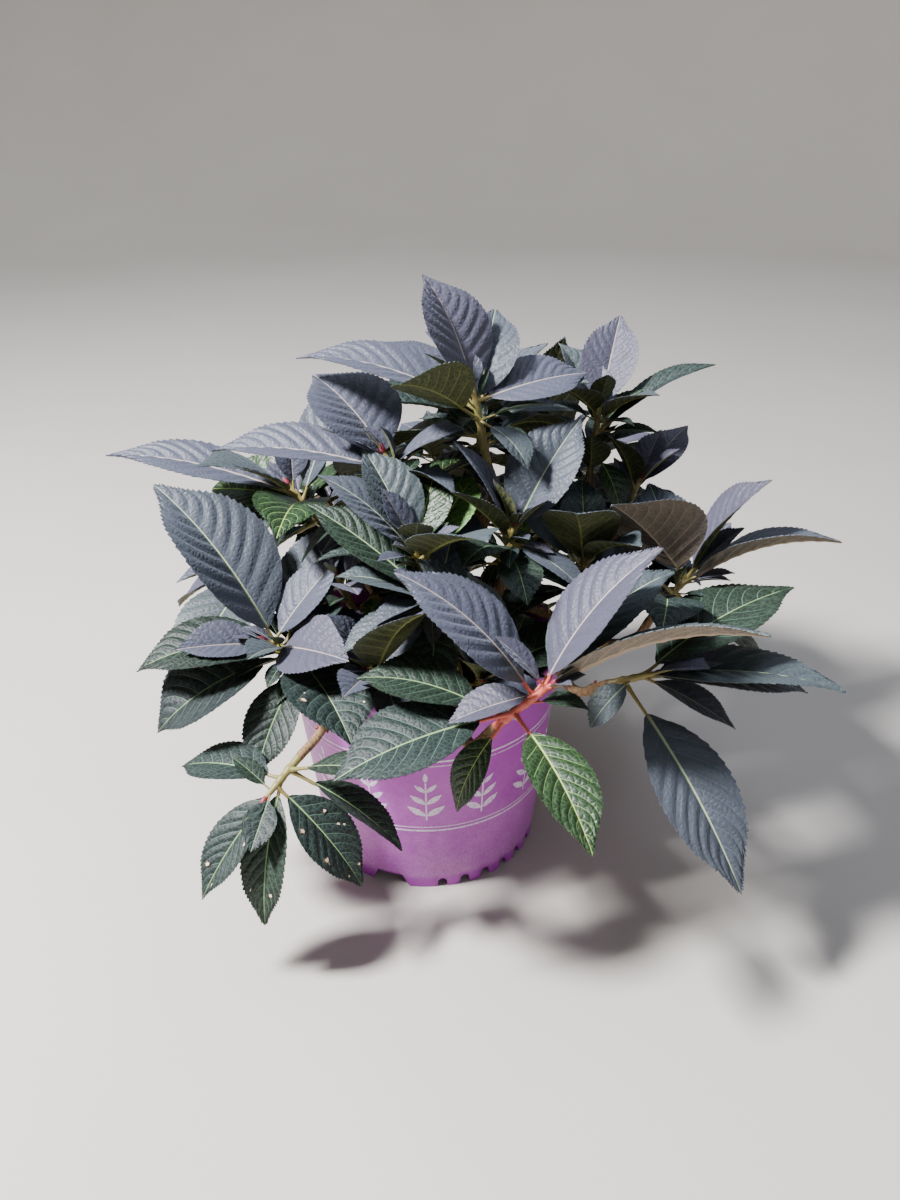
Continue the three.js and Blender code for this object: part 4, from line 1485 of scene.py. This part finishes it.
    def blade(self, shell: Shell, plan: LeafPlan, tone: LeafTone, back: Underside,
              rng: Draws) -> tuple[Array, Array]:
        """Adds one closed blade.

        Args:
            shell: The mesh that takes it.
            plan: The leaf.
            tone: The colour of its upper side.
            back: The colour of its underside.
            rng: The leaf's own random draws.

        Returns:
            The places of its upper side and the directions square to it, as rows by columns by 3.
        """
        grid = self.laid_out(plan)
        share, across, full = self.outline(grid, plan.breadth, rng)
        height = self.height(grid, share, full, rng)
        course = BladeCourse(plan, self.course_steps)
        _, upper = course.directions(share)
        fold = math.radians(plan.fold)
        hand = grid.hand[None, :, None]
        along = course.left * (math.cos(fold) * hand) + upper * np.where(hand == 0, 0, math.sin(fold))
        square = upper * np.where(hand == 0, 1, math.cos(fold)) - course.left * (math.sin(fold) * hand)
        top = course.at(share) + along * across[..., None] + square * height[..., None]
        under = top - square * self.depth(grid, share)[..., None]
        self.skin(shell, top, under, tone, back, grid.pattern, int(rng.integers(2)))
        return top, square

    def skin(self, shell: Shell, top: Array, under: Array, tone: LeafTone, back: Underside,
             pattern: BladePattern, variant: int) -> None:
        """Joins the two sides of a blade and gives each face its finish.

        Args:
            shell: The mesh that takes them.
            top: The places of the upper side, as rows by columns by 3.
            under: The places of the underside.
            tone: The colour of the upper side.
            back: The colour of the underside.
            pattern: How the blade is drawn.
            variant: Which of the tone's two blades it is.
        """
        rows, columns = top.shape[:2]
        ids = np.arange(rows * columns).reshape(rows, columns)
        quads = sheet_quads(rows, columns)
        centre = columns // 2
        strip = np.zeros(rows - 1, bool)
        strip[1:-2:2] = pattern.on_vein
        kinds = np.zeros(quads.shape[:2], int)
        kinds[strip, 1:-1] = 1
        kinds[:, centre - 1:centre + 1] = 2
        edge = BLADES[tone][variant]
        upper_marks = np.array([shell.mark(f) for f in (edge, VEINS[tone], MIDRIBS[tone])])
        under_marks = np.array([shell.mark(f) for f in (BACKS[back], BACK_VEINS[back], BACK_VEINS[back])])
        loop = np.concatenate([ids[0], ids[1:, -1], ids[-1, -2::-1], ids[-2:0:-1, 0]])
        onward = np.roll(loop, -1)
        below = rows * columns
        rim = np.stack([onward, loop, loop + below, onward + below], -1)
        flat = quads.reshape(-1, 4)
        shell.add(np.stack([top, under]), [
            (flat, upper_marks[kinds.ravel()]), (flat[:, ::-1] + below, under_marks[kinds.ravel()]),
            (rim, edge),
        ])

    def spots(self, shell: Shell, top: Array, square: Array, count: int, rng: Draws) -> None:
        """Adds tan spots with a brown ring on a leaf's upper side.

        Args:
            shell: The mesh that takes them.
            top: The places of the upper side, as rows by columns by 3.
            square: The directions square to it there.
            count: How many spots there are.
            rng: The leaf's own random draws.
        """
        rows, columns = top.shape[:2]
        for _ in range(count):
            i = int(rng.integers(rows // 6, rows * 5 // 6))
            j = int(rng.choice([2, 3, columns - 4, columns - 3]))
            away = unit(square[i, j])
            side = unit(np.cross(away, UP + 0.01))
            other = np.cross(away, side)
            radius = rng.uniform(0.8, 2.4)
            edge = 0.65 + 0.7 * rng.random(12)
            angles = np.linspace(0, 2 * np.pi, 13)[:-1]
            for share, lift, finish in ((1.0, 0.14, SPOT_RING), (0.72, 0.2, SPOT_HEART)):
                reach = radius * share * edge
                ring = np.outer(np.cos(angles) * reach, side) + np.outer(np.sin(angles) * reach, other)
                low = top[i, j] + ring - away * 0.6
                high = top[i, j] + ring * 0.94 + away * lift
                shell.grid(np.stack([low, high]), finish)


class Room:
    """The space that solids and small leaves have taken, so that each new small leaf keeps clear of it."""

    def __init__(self, margin: float = 1.5) -> None:
        """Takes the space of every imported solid.

        Args:
            margin: How much wider than its blade the space of a small leaf is.
        """
        self.margin = margin
        self.trees: list[BVHTree] = []
        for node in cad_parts.values():
            points = [tuple(v.co / METRES) for v in node.data.vertices]
            self.trees.append(BVHTree.FromPolygons(points, [tuple(p.vertices) for p in node.data.polygons]))

    def take(self, plan: LeafPlan) -> bool:
        """Takes the space of a small leaf's blade where it is free.

        Args:
            plan: The leaf.

        Returns:
            Whether the space was free.
        """
        course = BladeCourse(plan, 24)
        shares = np.linspace(0.1, 1, 7)
        _, upper = course.directions(shares)
        rise = math.tan(math.radians(plan.fold))
        half = blade_width(shares)[:, None] * plan.breadth * plan.length / 2 + self.margin
        middle = course.at(shares)
        lifted = middle + upper * half * rise
        grid = np.stack([lifted + course.left * half, middle, lifted - course.left * half], 1)
        quads = sheet_quads(*grid.shape[:2]).reshape(-1, 4)
        tree = BVHTree.FromPolygons(grid.reshape(-1, 3).tolist(), quads.tolist())
        if any(tree.overlap(other) for other in self.trees):
            return False
        self.trees.append(tree)
        return True


@dataclass(frozen=True)
class SmallLeafRule:
    """How small leaves grow: how often one is tried, and the spans that its way and shape are drawn from."""

    tries: int
    drawn_in: float
    petiole_share: float
    aside: Span
    lift: Span
    shortest: float
    breadth: Span
    bend: Span
    fold: Span
    twist: Span

    def grown(self, room: Room, root: Array, way: Span, hand: int, longest: float,
              rng: Draws) -> Optional[LeafPlan]:
        """Finds a way for one leaf to grow.

        Args:
            room: The space that is taken.
            root: Where the leaf's stalk starts.
            way: The azimuth and pitch that it turns aside from.
            hand: Which way round its turn is counted, 1 or -1.
            longest: Its longest reach.
            rng: The random draws.

        Returns:
            The leaf, or None where there is no room.
        """
        for attempt in range(self.tries):
            plan = LeafPlan(
                shoot="", pair=0, side=0, root=tuple(root), petiole_share=self.petiole_share,
                azimuth=way[0] + hand * rng.uniform(*self.aside), pitch=way[1] + rng.uniform(*self.lift),
                reach=rng.uniform(self.shortest, longest) * (1 - self.drawn_in * attempt),
                breadth=rng.uniform(*self.breadth), bend=rng.uniform(*self.bend),
                fold=rng.uniform(*self.fold), twist=rng.uniform(*self.twist),
            )
            if room.take(plan):
                return plan
        return None


@dataclass(frozen=True)
class Foliage:
    """Every leafy shoot: a stem with joints and buds, and leaves in crossed pairs."""

    rule: GrowthRule
    room: Room
    maker: LeafMaker = LeafMaker()
    stem_sides: int = 14
    sprigs: SmallLeafRule = SmallLeafRule(
        tries=5, drawn_in=0.0, petiole_share=0.14, aside=(24, 80), lift=(-40, 22), shortest=26,
        breadth=(0.4, 0.52), bend=(10, 30), fold=(14, 26), twist=(-20, 20))
    sprig_reach: Span = (30, 5)
    sprig_rise: float = 0.6
    red_shoots: tuple[str, ...] = ("front",)
    hollow_shoots: tuple[str, ...] = ("hollow_left", "centre", "upper_left", "left_back", "rim_left")
    dark_shoots: tuple[str, ...] = ("low_left",)
    tidy_shoots: tuple[str, ...] = ("front", "low_left", "right_low")
    bronze_backs: tuple[str, ...] = ("right 2b", "front 3b", "right 3a")
    spotted: dict[str, int] = field(default_factory=lambda: {
        "low_left 2a": 9, "low_left 4b": 4, "low_left 2b": 3, "low_left 3a": 2, "left 4a": 3,
    })
    joint_swell: float = 0.3
    young_joint_swell: float = 0.1
    joint_reach: float = 2.4
    end_bud: Span = (9.0, 2.3)
    sprigs_from: int = 3
    old_from: int = 4

    def tone(self, plan: LeafPlan, rng: Draws) -> LeafTone:
        """Chooses a leaf's colour: young leaves are violet grey, old ones in the shade black green, partly
        as painted shade.

        Args:
            plan: The leaf.
            rng: The leaf's own random draws.

        Returns:
            The tone.
        """
        draw = rng.random()
        if plan.label in OWN_TONE_OF:
            return OWN_TONE_OF[plan.label]
        tones = TONES_BY_PAIR[min(plan.pair, len(TONES_BY_PAIR) - 1)]
        if plan.shoot in self.dark_shoots:
            tones = DARK_TONES
        if plan.shoot in self.hollow_shoots and plan.pair >= self.old_from:
            tones = HOLLOW_TONES
        return next(tone for up_to, tone in tones if draw < up_to)

    def stem(self, shell: Shell, name: str, rind: GreenRind) -> None:
        """Adds a shoot's stem, swollen where the leaf pairs stand, and its end bud.

        Args:
            shell: The mesh that takes them.
            name: The shoot.
            rind: The stem's finish.
        """
        spec = SHOOTS[name]
        axis, tip, foot = self.rule.stem(spec)
        length = float(np.linalg.norm(tip - foot))
        walk = np.linspace(-3, length + 1, int(length / 1.2) + 6)
        shares = np.clip(walk / length, 0, 1)
        radii = self.rule.stem_foot + (self.rule.stem_tip - self.rule.stem_foot) * shares
        for pair in range(1, spec.pairs):
            swell = self.joint_swell if pair > 1 else self.young_joint_swell
            near = np.exp(-((walk - length + self.rule.drop[pair]) / self.joint_reach) ** 2)
            radii = radii + swell * self.rule.stem_foot * near * (1 - 0.4 * shares)
        places = foot + np.outer(walk, axis)
        shell.grid(tube_rings(places, radii, self.stem_sides, axis, axis), rind)
        add_bud(shell, tip, axis, *self.end_bud, BUD_SCALE)

    def sprig(self, plan: LeafPlan, rng: Draws) -> list[LeafPlan]:
        """Lists the small leaves that open in the angle above a leaf's stalk.

        Args:
            plan: The leaf as it stands.
            rng: The leaf's own random draws.

        Returns:
            One small leaf for each side, or fewer where there is no room.
        """
        axis, _, _ = self.rule.stem(SHOOTS[plan.shoot])
        out = heading(plan.azimuth, plan.pitch)
        azimuth, pitch = bearing(unit(axis * 0.9 + out * 0.5))
        way = (azimuth, pitch * self.sprig_rise)
        root = np.array(plan.root) + axis * 1.2 + out * 1.6
        longest = self.sprig_reach[0] + self.sprig_reach[1] * plan.pair
        found = [self.sprigs.grown(self.room, root, way, hand, longest, rng) for hand in (-1, 1)]
        return [small for small in found if small]

    def shoot(self, name: str) -> int:
        """Builds one shoot's two pieces, its stem and its leaves.

        Args:
            name: The shoot.

        Returns:
            How many leaves it has.
        """
        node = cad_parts[f"shoot_{name}"]
        solid = np.array([v.co for v in node.data.vertices]) / METRES
        index = list(SHOOTS).index(name)
        rind = RINDS[RindTone.RED if name in self.red_shoots else RindTone.TAN]
        leaves, stems = Shell(), Shell()
        self.stem(stems, name, rind)
        grown = 0
        for plan in self.rule.leaves(name):
            rng = np.random.default_rng(1000 * index + 10 * plan.pair + plan.side)
            fitted = plan if plan.pair == 0 else self.rule.fitted(plan, solid)
            if fitted is None:
                continue
            back = Underside.BRONZE if plan.label in self.bronze_backs else Underside.OLIVE
            tone = self.tone(plan, rng)
            self.maker.stalk(stems, fitted, rind)
            top, square = self.maker.blade(leaves, fitted, tone, back, rng)
            self.maker.spots(leaves, top, square, self.spotted.get(plan.label, 0), rng)
            grown += 1
            if plan.pair < self.sprigs_from or name in self.tidy_shoots:
                continue
            for small in self.sprig(fitted, rng):
                self.maker.stalk(stems, small, rind)
                young = LeafTone.DEEP if plan.pair > 3 or rng.random() < 0.5 else LeafTone.DUSK
                self.maker.blade(leaves, small, young, Underside.OLIVE, rng)
        stems.piece(f"stem_of_{name}", Crease.GROWN, "leaves", f"shoot_{name}")
        leaves.piece(f"leaves_of_{name}", Crease.BLADE, "leaves", f"shoot_{name}")
        return grown

    def build(self) -> None:
        """Builds every shoot."""
        total = sum(self.shoot(name) for name in SHOOTS)
        log.info("%d leaves on %d shoots", total, len(SHOOTS))


@dataclass(frozen=True)
class InnerLeaves:
    """Small shaded leaves that sprout in pairs from buds on the canes and branches inside the crown."""

    room: Room
    maker: LeafMaker = LeafMaker()
    lowest: float = 196.0
    longest: float = 66.0
    seed: int = 23
    growth: SmallLeafRule = SmallLeafRule(
        tries=9, drawn_in=0.05, petiole_share=0.2, aside=(-55, 55), lift=(-30, 45), shortest=32,
        breadth=(0.46, 0.64), bend=(18, 42), fold=(8, 22), twist=(-25, 25))
    # The lime among these tones is partly painted light shining through the leaf.
    tones: tuple[LeafTone, ...] = (
        LeafTone.DEEP, LeafTone.INK, LeafTone.SLATE, LeafTone.GREEN, LeafTone.GREEN, LeafTone.LIME)

    def build(self, buds: list[tuple[Array, Array]]) -> None:
        """Builds the leaves and their stalks, each kind joined.

        Args:
            buds: The place of each bud and the direction away from its limb.
        """
        rng = np.random.default_rng(self.seed)
        leaves, stalks = Shell(), Shell()
        grown = 0
        for place, away in buds:
            if place[2] <= self.lowest:
                continue
            root = place - away * 1.5
            plan = self.growth.grown(self.room, root, bearing(away), 1, self.longest, rng)
            if plan is None:
                continue
            self.maker.stalk(stalks, plan, RINDS[RindTone.TAN])
            tone = self.tones[int(rng.integers(len(self.tones)))]
            self.maker.blade(leaves, plan, tone, Underside.OLIVE, rng)
            grown += 1
        leaves.piece("inner_leaves", Crease.BLADE, "leaves")
        stalks.piece("inner_stalks", Crease.GROWN, "leaves")
        log.info("%d inner leaves from %d buds", grown, len(buds))


@dataclass(frozen=True)
class Opening:
    """An upright opening in the pot's foot: a notch with a rounded top, or an arch with sloping sides."""

    azimuth: float
    width: float
    height: float
    slope: float

    def edge(self, offset: Array) -> Array:
        """Works out the opening's upper edge.

        Args:
            offset: Distances from its middle.

        Returns:
            How high it reaches at each.
        """
        inside = self.width / 2 - np.abs(offset)
        if self.slope > 0:
            return self.height * smooth(inside, 0, self.slope)
        round_top = self.width / 2
        rise = np.sqrt(np.maximum(round_top ** 2 - np.minimum(np.abs(offset), round_top) ** 2, 0))
        return np.where(inside > 0.005, self.height - round_top + rise, 0.0)


@dataclass(frozen=True)
class Pot:
    """The grower's pot: a thin tapering wall with a stepped rim band, a notched foot and a raised floor."""

    height: float = 183.0
    foot_radius: float = 88.0
    neck_radius: float = 107.0
    band_radius: float = 110.5
    band_height: float = 14.0
    wall: float = 2.2
    foot_top: float = 20.0
    notch_dish: float = 1.3
    inner_dish: float = 0.2
    floor_top: float = 12.0
    floor_under: float = 9.5
    pad_radius: float = 30.0
    notch_width: float = 7.5
    notch_step: float = 12.0
    notch_first: float = -83.0
    notch_foot: float = 8.0
    arch_half_angle: float = 11.0
    arch_height: float = 13.5
    arch_count: int = 3
    arch_towards: float = -110.5
    arch_slope: float = 8.0
    fill_step: float = 2.2
    ink_sunk: float = 0.25
    ink_proud: float = 0.14
    hoops: tuple[Span, ...] = ((62.0, 1.5), (66.0, 0.8), (128.0, 0.8), (132.0, 1.5))
    sprig_count: int = 14
    sprig_span: Span = (74.0, 112.0)
    sprig_leaves: tuple[Place, ...] = ((78, 15, 38), (90, 13, 42), (102, 10, 48), (112, 9, 90))

    def radius(self, height: Array) -> Array:
        """Returns the outer radius of the tapering wall at a height."""
        share = height / (self.height - self.band_height)
        return self.foot_radius + (self.neck_radius - self.foot_radius) * share

    def openings(self) -> list[Opening]:
        """Lists the openings in the foot.

        Returns:
            The drain arches and the notches between them.
        """
        third = 360 / self.arch_count
        width = 2 * self.foot_radius * math.sin(math.radians(self.arch_half_angle))
        made = [Opening(self.arch_towards + i * third, width, self.arch_height, self.arch_slope)
                for i in range(self.arch_count)]
        for i in range(round(360 / self.notch_step)):
            azimuth = self.notch_first + i * self.notch_step
            from_arch = abs((azimuth - self.arch_towards + third / 2) % third - third / 2)
            if from_arch > self.arch_half_angle + self.notch_foot:
                made.append(Opening(azimuth, self.notch_width, self.notch_width, 0.0))
        return made

    def outline(self) -> tuple[Array, Array, Array]:
        """Works out the foot's outline.

        Returns:
            Azimuths in degrees, the height of the wall's lower edge at each, and how deeply the wall is
            dished there above a notch, from 0 to 1.
        """
        degree = math.radians(1) * self.foot_radius
        stations: dict[float, tuple[float, float]] = {}
        for gap in self.openings():
            half = gap.width / 2
            notch = gap.slope == 0
            inner = half * np.sin(np.linspace(-np.pi / 2, np.pi / 2, 13 if notch else 27))
            sides = np.array([half, half + 1.2, half + 2.4])
            offsets = np.concatenate([-sides[::-1], inner * 0.996, sides])
            dish = np.exp(-(offsets / (half + 1.0)) ** 4) if notch else np.zeros(len(offsets))
            for offset, edge, deep in zip(offsets, gap.edge(offsets), dish):
                stations[(gap.azimuth + offset / degree) % 360] = (float(edge), float(deep))
        azimuths = sorted(stations)
        for azimuth, after in zip(azimuths, azimuths[1:] + azimuths[:1]):
            wide = (after - azimuth) % 360
            fill = int(wide / self.fill_step) if stations[azimuth][0] == stations[after][0] == 0 else 0
            for k in range(1, fill + 1):
                stations[(azimuth + wide * k / (fill + 1)) % 360] = (0.0, 0.0)
        azimuths = np.array(sorted(stations))
        facts = np.array([stations[a] for a in azimuths])
        return azimuths, facts[:, 0], facts[:, 1]

    def rim(self) -> list[tuple[float, float]]:
        """Draws the section of the rim.

        Returns:
            Its radii and heights, from the band's lower edge over the lip to the inside.
        """
        neck = self.height - self.band_height
        out, top = self.band_radius, self.height
        lip = out - 1.5
        return [
            (self.neck_radius, neck - 1.0), (self.neck_radius + 0.5, neck - 0.3), (out - 0.9, neck),
            (out - 0.25, neck + 0.3), (out, neck + 1.0), (out, neck + 4.2), (out - 0.35, neck + 4.8),
            (out - 0.35, neck + 8.2), (out, neck + 8.8), (out, top - 3.2), (out - 0.4, top - 1.5),
            (out - 1.0, top - 0.5), (lip - 0.4, top), (lip - 1.5, top - 0.1), (lip - 2.1, top - 0.9),
            (lip - 2.3, top - 2.2), (self.neck_radius - self.wall, neck - 1.0),
        ]

    def wall_shell(self, shell: Shell, finish: Finish) -> None:
        """Adds the wall: one closed sheet from the notched foot up, over the rim and down inside.

        Args:
            shell: The mesh that takes it.
            finish: Its finish.
        """
        azimuths, edges, dishes = self.outline()
        neck = self.height - self.band_height
        levels = np.linspace(24, neck - 4, 9)
        spokes = spokes_at(np.radians(azimuths))
        rings = []
        for share in np.linspace(0, 1, 7):
            z = edges + (self.foot_top - edges) * share
            r = self.radius(z) - self.notch_dish * dishes * (1 - smooth(z, 8, 18))
            rings.append(spokes * r[:, None] + UP * z[:, None])
        section = [(self.radius(z), z) for z in levels] + self.rim()
        section += [(self.radius(z) - self.wall, z) for z in levels[::-2]]
        rings += [spokes * r + UP * z for r, z in section]
        for share in (1.0, 0.5, 0.0):
            z = edges + (self.foot_top - edges) * share
            r = self.radius(z) - self.wall - self.inner_dish * dishes
            rings.append(spokes * r[:, None] + UP * z[:, None])
        shell.grid(np.array(rings), finish, closed=True)

    def floor_shell(self, shell: Shell, finish: Finish) -> None:
        """Adds the raised floor with the pad under its middle that stands on the ground.

        Args:
            shell: The mesh that takes it.
            finish: Its finish.
        """
        edge = self.radius(self.floor_under) - self.wall + 0.15
        pad = self.pad_radius
        section = [(0.4, 0), (pad - 1, 0), (pad, 1), (pad, self.floor_under), (edge, self.floor_under),
                   (edge, self.floor_top), (0.4, self.floor_top)]
        shell.grid(lathed(section, 96), finish)

    def on_wall(self, points: Array, lift: float) -> Array:
        """Wraps flat points onto the wall.

        Args:
            points: Rows of distance round the wall from its front, and height.
            lift: How far they stand off the wall.

        Returns:
            Their places.
        """
        turn = points[..., 0] / self.foot_radius - np.pi / 2
        r = self.radius(points[..., 1]) + lift
        return np.stack([r * np.cos(turn), r * np.sin(turn), points[..., 1]], -1)

    def print_patch(self, shell: Shell, middles: Array, halves: Array, finish: Finish) -> None:
        """Adds one printed patch, as a closed strip of short plates that follows the round wall.

        Args:
            shell: The mesh that takes it.
            middles: Rows of distance round the wall and height, along the patch.
            halves: The patch's half width at each row.
            finish: Its finish.
        """
        run = np.gradient(middles, axis=0)
        across = np.stack([-run[:, 1], run[:, 0]], -1)
        across *= (halves / np.linalg.norm(across, axis=1))[:, None]
        right, left = middles - across, middles + across
        low, high = -self.ink_sunk, self.ink_proud
        rings = np.stack([self.on_wall(right, low), self.on_wall(right, high),
                          self.on_wall(left, high), self.on_wall(left, low)], 1)
        shell.grid(rings[:, ::-1], finish)

    def print_design(self, shell: Shell, finish: Finish) -> None:
        """Adds the print: two pairs of hoops and between them a row of plain leaf sprigs.

        Args:
            shell: The mesh that takes it.
            finish: Its finish.
        """
        low, high = -self.ink_sunk, self.ink_proud
        for level, thick in self.hoops:
            section = [(self.radius(level + z) + lift, level + z)
                       for lift, z in ((low, 0), (high, 0), (high, thick), (low, thick))]
            shell.grid(lathed(section, 180), finish, closed=True)
        around = 2 * np.pi * self.foot_radius
        for number in range(self.sprig_count):
            middle = around * number / self.sprig_count
            stalk = np.stack([np.full(9, middle), np.linspace(*self.sprig_span, 9)], -1)
            self.print_patch(shell, stalk, np.full(9, 0.55), finish)
            for level, reach, tilt in self.sprig_leaves:
                for hand in ((-1, 1) if tilt < 90 else (1,)):
                    share = np.linspace(0, 1, 12)
                    a = math.radians(tilt)
                    away = np.stack([hand * math.cos(a) * (1 + share * reach),
                                     math.sin(a) * (1 + share * reach)], -1)
                    halves = 0.18 * reach * np.sin(np.pi * (0.03 + 0.94 * share) ** 0.85)
                    self.print_patch(shell, away + [middle, level], halves, finish)

    def build(self) -> None:
        """Builds the pot's two pieces, its plastic and its print."""
        plastic = MouldedPolypropylene()
        shell = Shell()
        self.wall_shell(shell, plastic)
        self.floor_shell(shell, plastic)
        shell.piece("grower_pot", Crease.MOULDED, "pot", "pot")
        printed = Shell()
        self.print_design(printed, ScreenInk())
        printed.piece("pot_print", Crease.MOULDED, "pot")


@dataclass(frozen=True)
class PottingMix:
    """The mix: damp peat with a crumbled top, strewn with bark chips and perlite."""

    pot: Pot
    top: float = 165.0
    clearance: float = 0.3
    sides: int = 120
    crumb: float = 0.5
    hummock: float = 0.6
    crumb_seed: int = 7
    chips: int = 520
    perlite: int = 120
    strewn_seed: int = 11

    def edge(self, height: float) -> float:
        """Returns the mix's radius at a height."""
        return float(self.pot.radius(height)) - self.pot.wall - self.clearance

    def body(self) -> None:
        """Builds the peat: one closed body whose top is crumbled."""
        rng = np.random.default_rng(self.crumb_seed)
        turn = full_turn(self.sides)
        spokes = spokes_at(turn)
        floor = self.pot.floor_top + self.clearance
        section = [(1.0, floor), (self.edge(floor), floor)]
        section += [(self.edge(z), z) for z in np.linspace(floor + 20, self.top - 1.2, 8)]
        rings = [spokes * r + UP * z for r, z in section]
        for r in np.linspace(self.edge(self.top) - 0.8, 1.0, 60):
            hummocks = self.hummock * np.sin(5 * turn + r / 4) * np.sin(r / 6)
            crumbs = rng.normal(0, self.crumb, self.sides) + hummocks
            rings.append(spokes * r + UP * (self.top + crumbs - 0.4)[:, None])
        shell = Shell()
        shell.grid(np.array(rings), DampPeat())
        shell.piece("peat", Crease.GROWN, "potting_mix", "potting_mix")

    def granule(self, place: Array, size: Array, rng: Draws) -> Array:
        """Shapes one rough granule: a knobbly six-sided lump, turned at random.

        Args:
            place: Its middle.
            size: Half its length, half its width and its height as a share of its width.
            rng: The random draws.

        Returns:
            Its rings of points.
        """
        angle, dip = rng.uniform(0, 360), rng.uniform(-22, 22)
        axis = heading(angle, dip)
        places = place + np.outer(np.array([-1, -0.6, 0.1, 0.65, 1]) * size[0], axis)
        widths = size[1] * np.array([0.35, 0.85, 1, 0.8, 0.3])[:, None] * rng.uniform(0.7, 1.2, (5, 6))
        rings = tube_rings(places, widths, 6, axis, axis)
        rings[..., 2] = place[2] + (rings[..., 2] - place[2]) * size[2]
        return rings

    def strewn(self) -> None:
        """Builds the bark chips and the perlite on top of the peat, each kind joined."""
        rng = np.random.default_rng(self.strewn_seed)
        reach = self.edge(self.top) - 6
        kinds = (
            ("bark_chips", self.chips, (2.2, 6.0), DryGranule("pine_bark", "#6b4a33", "#3f2a1d"), 0.7),
            ("perlite_grains", self.perlite, (0.9, 1.9), DryGranule("perlite", "#d8d4ca", "#b9b4a8"), 1.0),
        )
        for name, count, sizes, finish, flat in kinds:
            shell = Shell()
            for _ in range(count):
                r, a = reach * math.sqrt(rng.random()), rng.uniform(0, 2 * np.pi)
                long = rng.uniform(*sizes)
                place = np.array([r * math.cos(a), r * math.sin(a), self.top + 0.35 * long * flat])
                size = np.array([long, long * rng.uniform(0.35, 0.9), flat])
                shell.grid(self.granule(place, size, rng), finish)
            shell.piece(name, Crease.BROKEN, "potting_mix")

    def build(self) -> None:
        """Builds the mix's pieces."""
        self.body()
        self.strewn()


@dataclass(frozen=True)
class Studio:
    """The photograph's viewing angle, a plain pale floor and soft light from the left and behind."""

    camera_place: Place = (20.9, -767.0, 620.0)
    pitch: float = 28.0
    roll: float = 1.09
    focal_pixels: float = 1115.0
    frame_height: float = 1200.0
    sensor: float = 36.0
    lit_place: Place = (0.0, 0.0, 0.25)
    floor_radius: float = 2.6
    cove: float = 1.4
    wall_height: float = 1.9

    def camera(self) -> None:
        """Adds the camera, looking along +Y and down by its pitch."""
        pitch, roll = math.radians(self.pitch), math.radians(self.roll)
        ahead = Vector((0, math.cos(pitch), -math.sin(pitch)))
        level, top = Vector((1, 0, 0)), Vector((0, math.sin(pitch), math.cos(pitch)))
        right = level * math.cos(roll) - top * math.sin(roll)
        up = level * math.sin(roll) + top * math.cos(roll)
        data = bpy.data.cameras.new("camera")
        data.sensor_width = self.sensor
        data.lens = self.sensor * self.focal_pixels / self.frame_height
        data.clip_start, data.clip_end = 0.01, 50.0
        made = new_object("camera", data)
        turn = Matrix((right, up, -ahead)).transposed().to_4x4()
        made.matrix_world = Matrix.Translation(Vector(self.camera_place) * METRES) @ turn
        bpy.context.scene.camera = made

    def light(self, name: str, place: Sequence[float], size: float, power: float, colour: str) -> None:
        """Adds a square soft light that faces the middle of the shrub.

        Args:
            name: The light's name.
            place: Where it hangs, in metres.
            size: Its side, in metres.
            power: In watts.
            colour: As sRGB hex.
        """
        data = bpy.data.lights.new(name, "AREA")
        data.size = size
        data.energy = power
        data.color = linear(colour)[:3]
        made = new_object(name, data)
        made.location = place
        aim = Vector(self.lit_place) - made.location
        made.rotation_euler = aim.to_track_quat("-Z", "Y").to_euler()

    def floor(self) -> None:
        """Adds the floor, which curves up into a plain wall all round."""
        section = [(0.01, 0.0), (self.floor_radius, 0.0)]
        for bend in np.linspace(0, np.pi / 2, 9)[1:]:
            out, rise = self.cove * math.sin(bend), self.cove * (1 - math.cos(bend))
            section.append((self.floor_radius + out, rise))
        section.append((self.floor_radius + self.cove, self.wall_height))
        rings = lathed(section, 96)
        quads = ring_quads(len(rings), 96)[:, ::-1]
        mesh = bpy.data.meshes.new("floor")
        mesh.from_pydata(rings.reshape(-1, 3).tolist(), [], quads.tolist() + [list(range(96))])
        mesh.shade_smooth()
        mesh.materials.append(PaintedFloor().material())
        new_object("floor", mesh)

    def build(self) -> None:
        """Builds the studio."""
        self.camera()
        self.floor()
        self.light("key_light", (-1.15, -0.42, 1.8), 0.32, 195.0, "#f9f9fd")
        self.light("top_light", (0.2, 0.4, 2.1), 1.4, 18.0, "#dfe8ff")
        self.light("fill_light", (1.2, -1.7, 1.2), 1.6, 5.0, "#e6edff")
        world = bpy.data.worlds.new("soft_room")
        world.use_nodes = True
        background = world.node_tree.nodes["Background"]
        background.inputs["Color"].default_value = linear("#dbe1ee")
        background.inputs["Strength"].default_value = 0.26
        bpy.context.scene.world = world


def main() -> None:
    """Builds the potted shrub and its studio in order."""
    rule = GrowthRule()
    Studio().build()
    pot = Pot()
    pot.build()
    PottingMix(pot).build()
    buds = Limbs(rule).build()
    room = Room()
    Foliage(rule, room).build()
    InnerLeaves(room).build(buds)


if __name__ == "__main__":
    main()
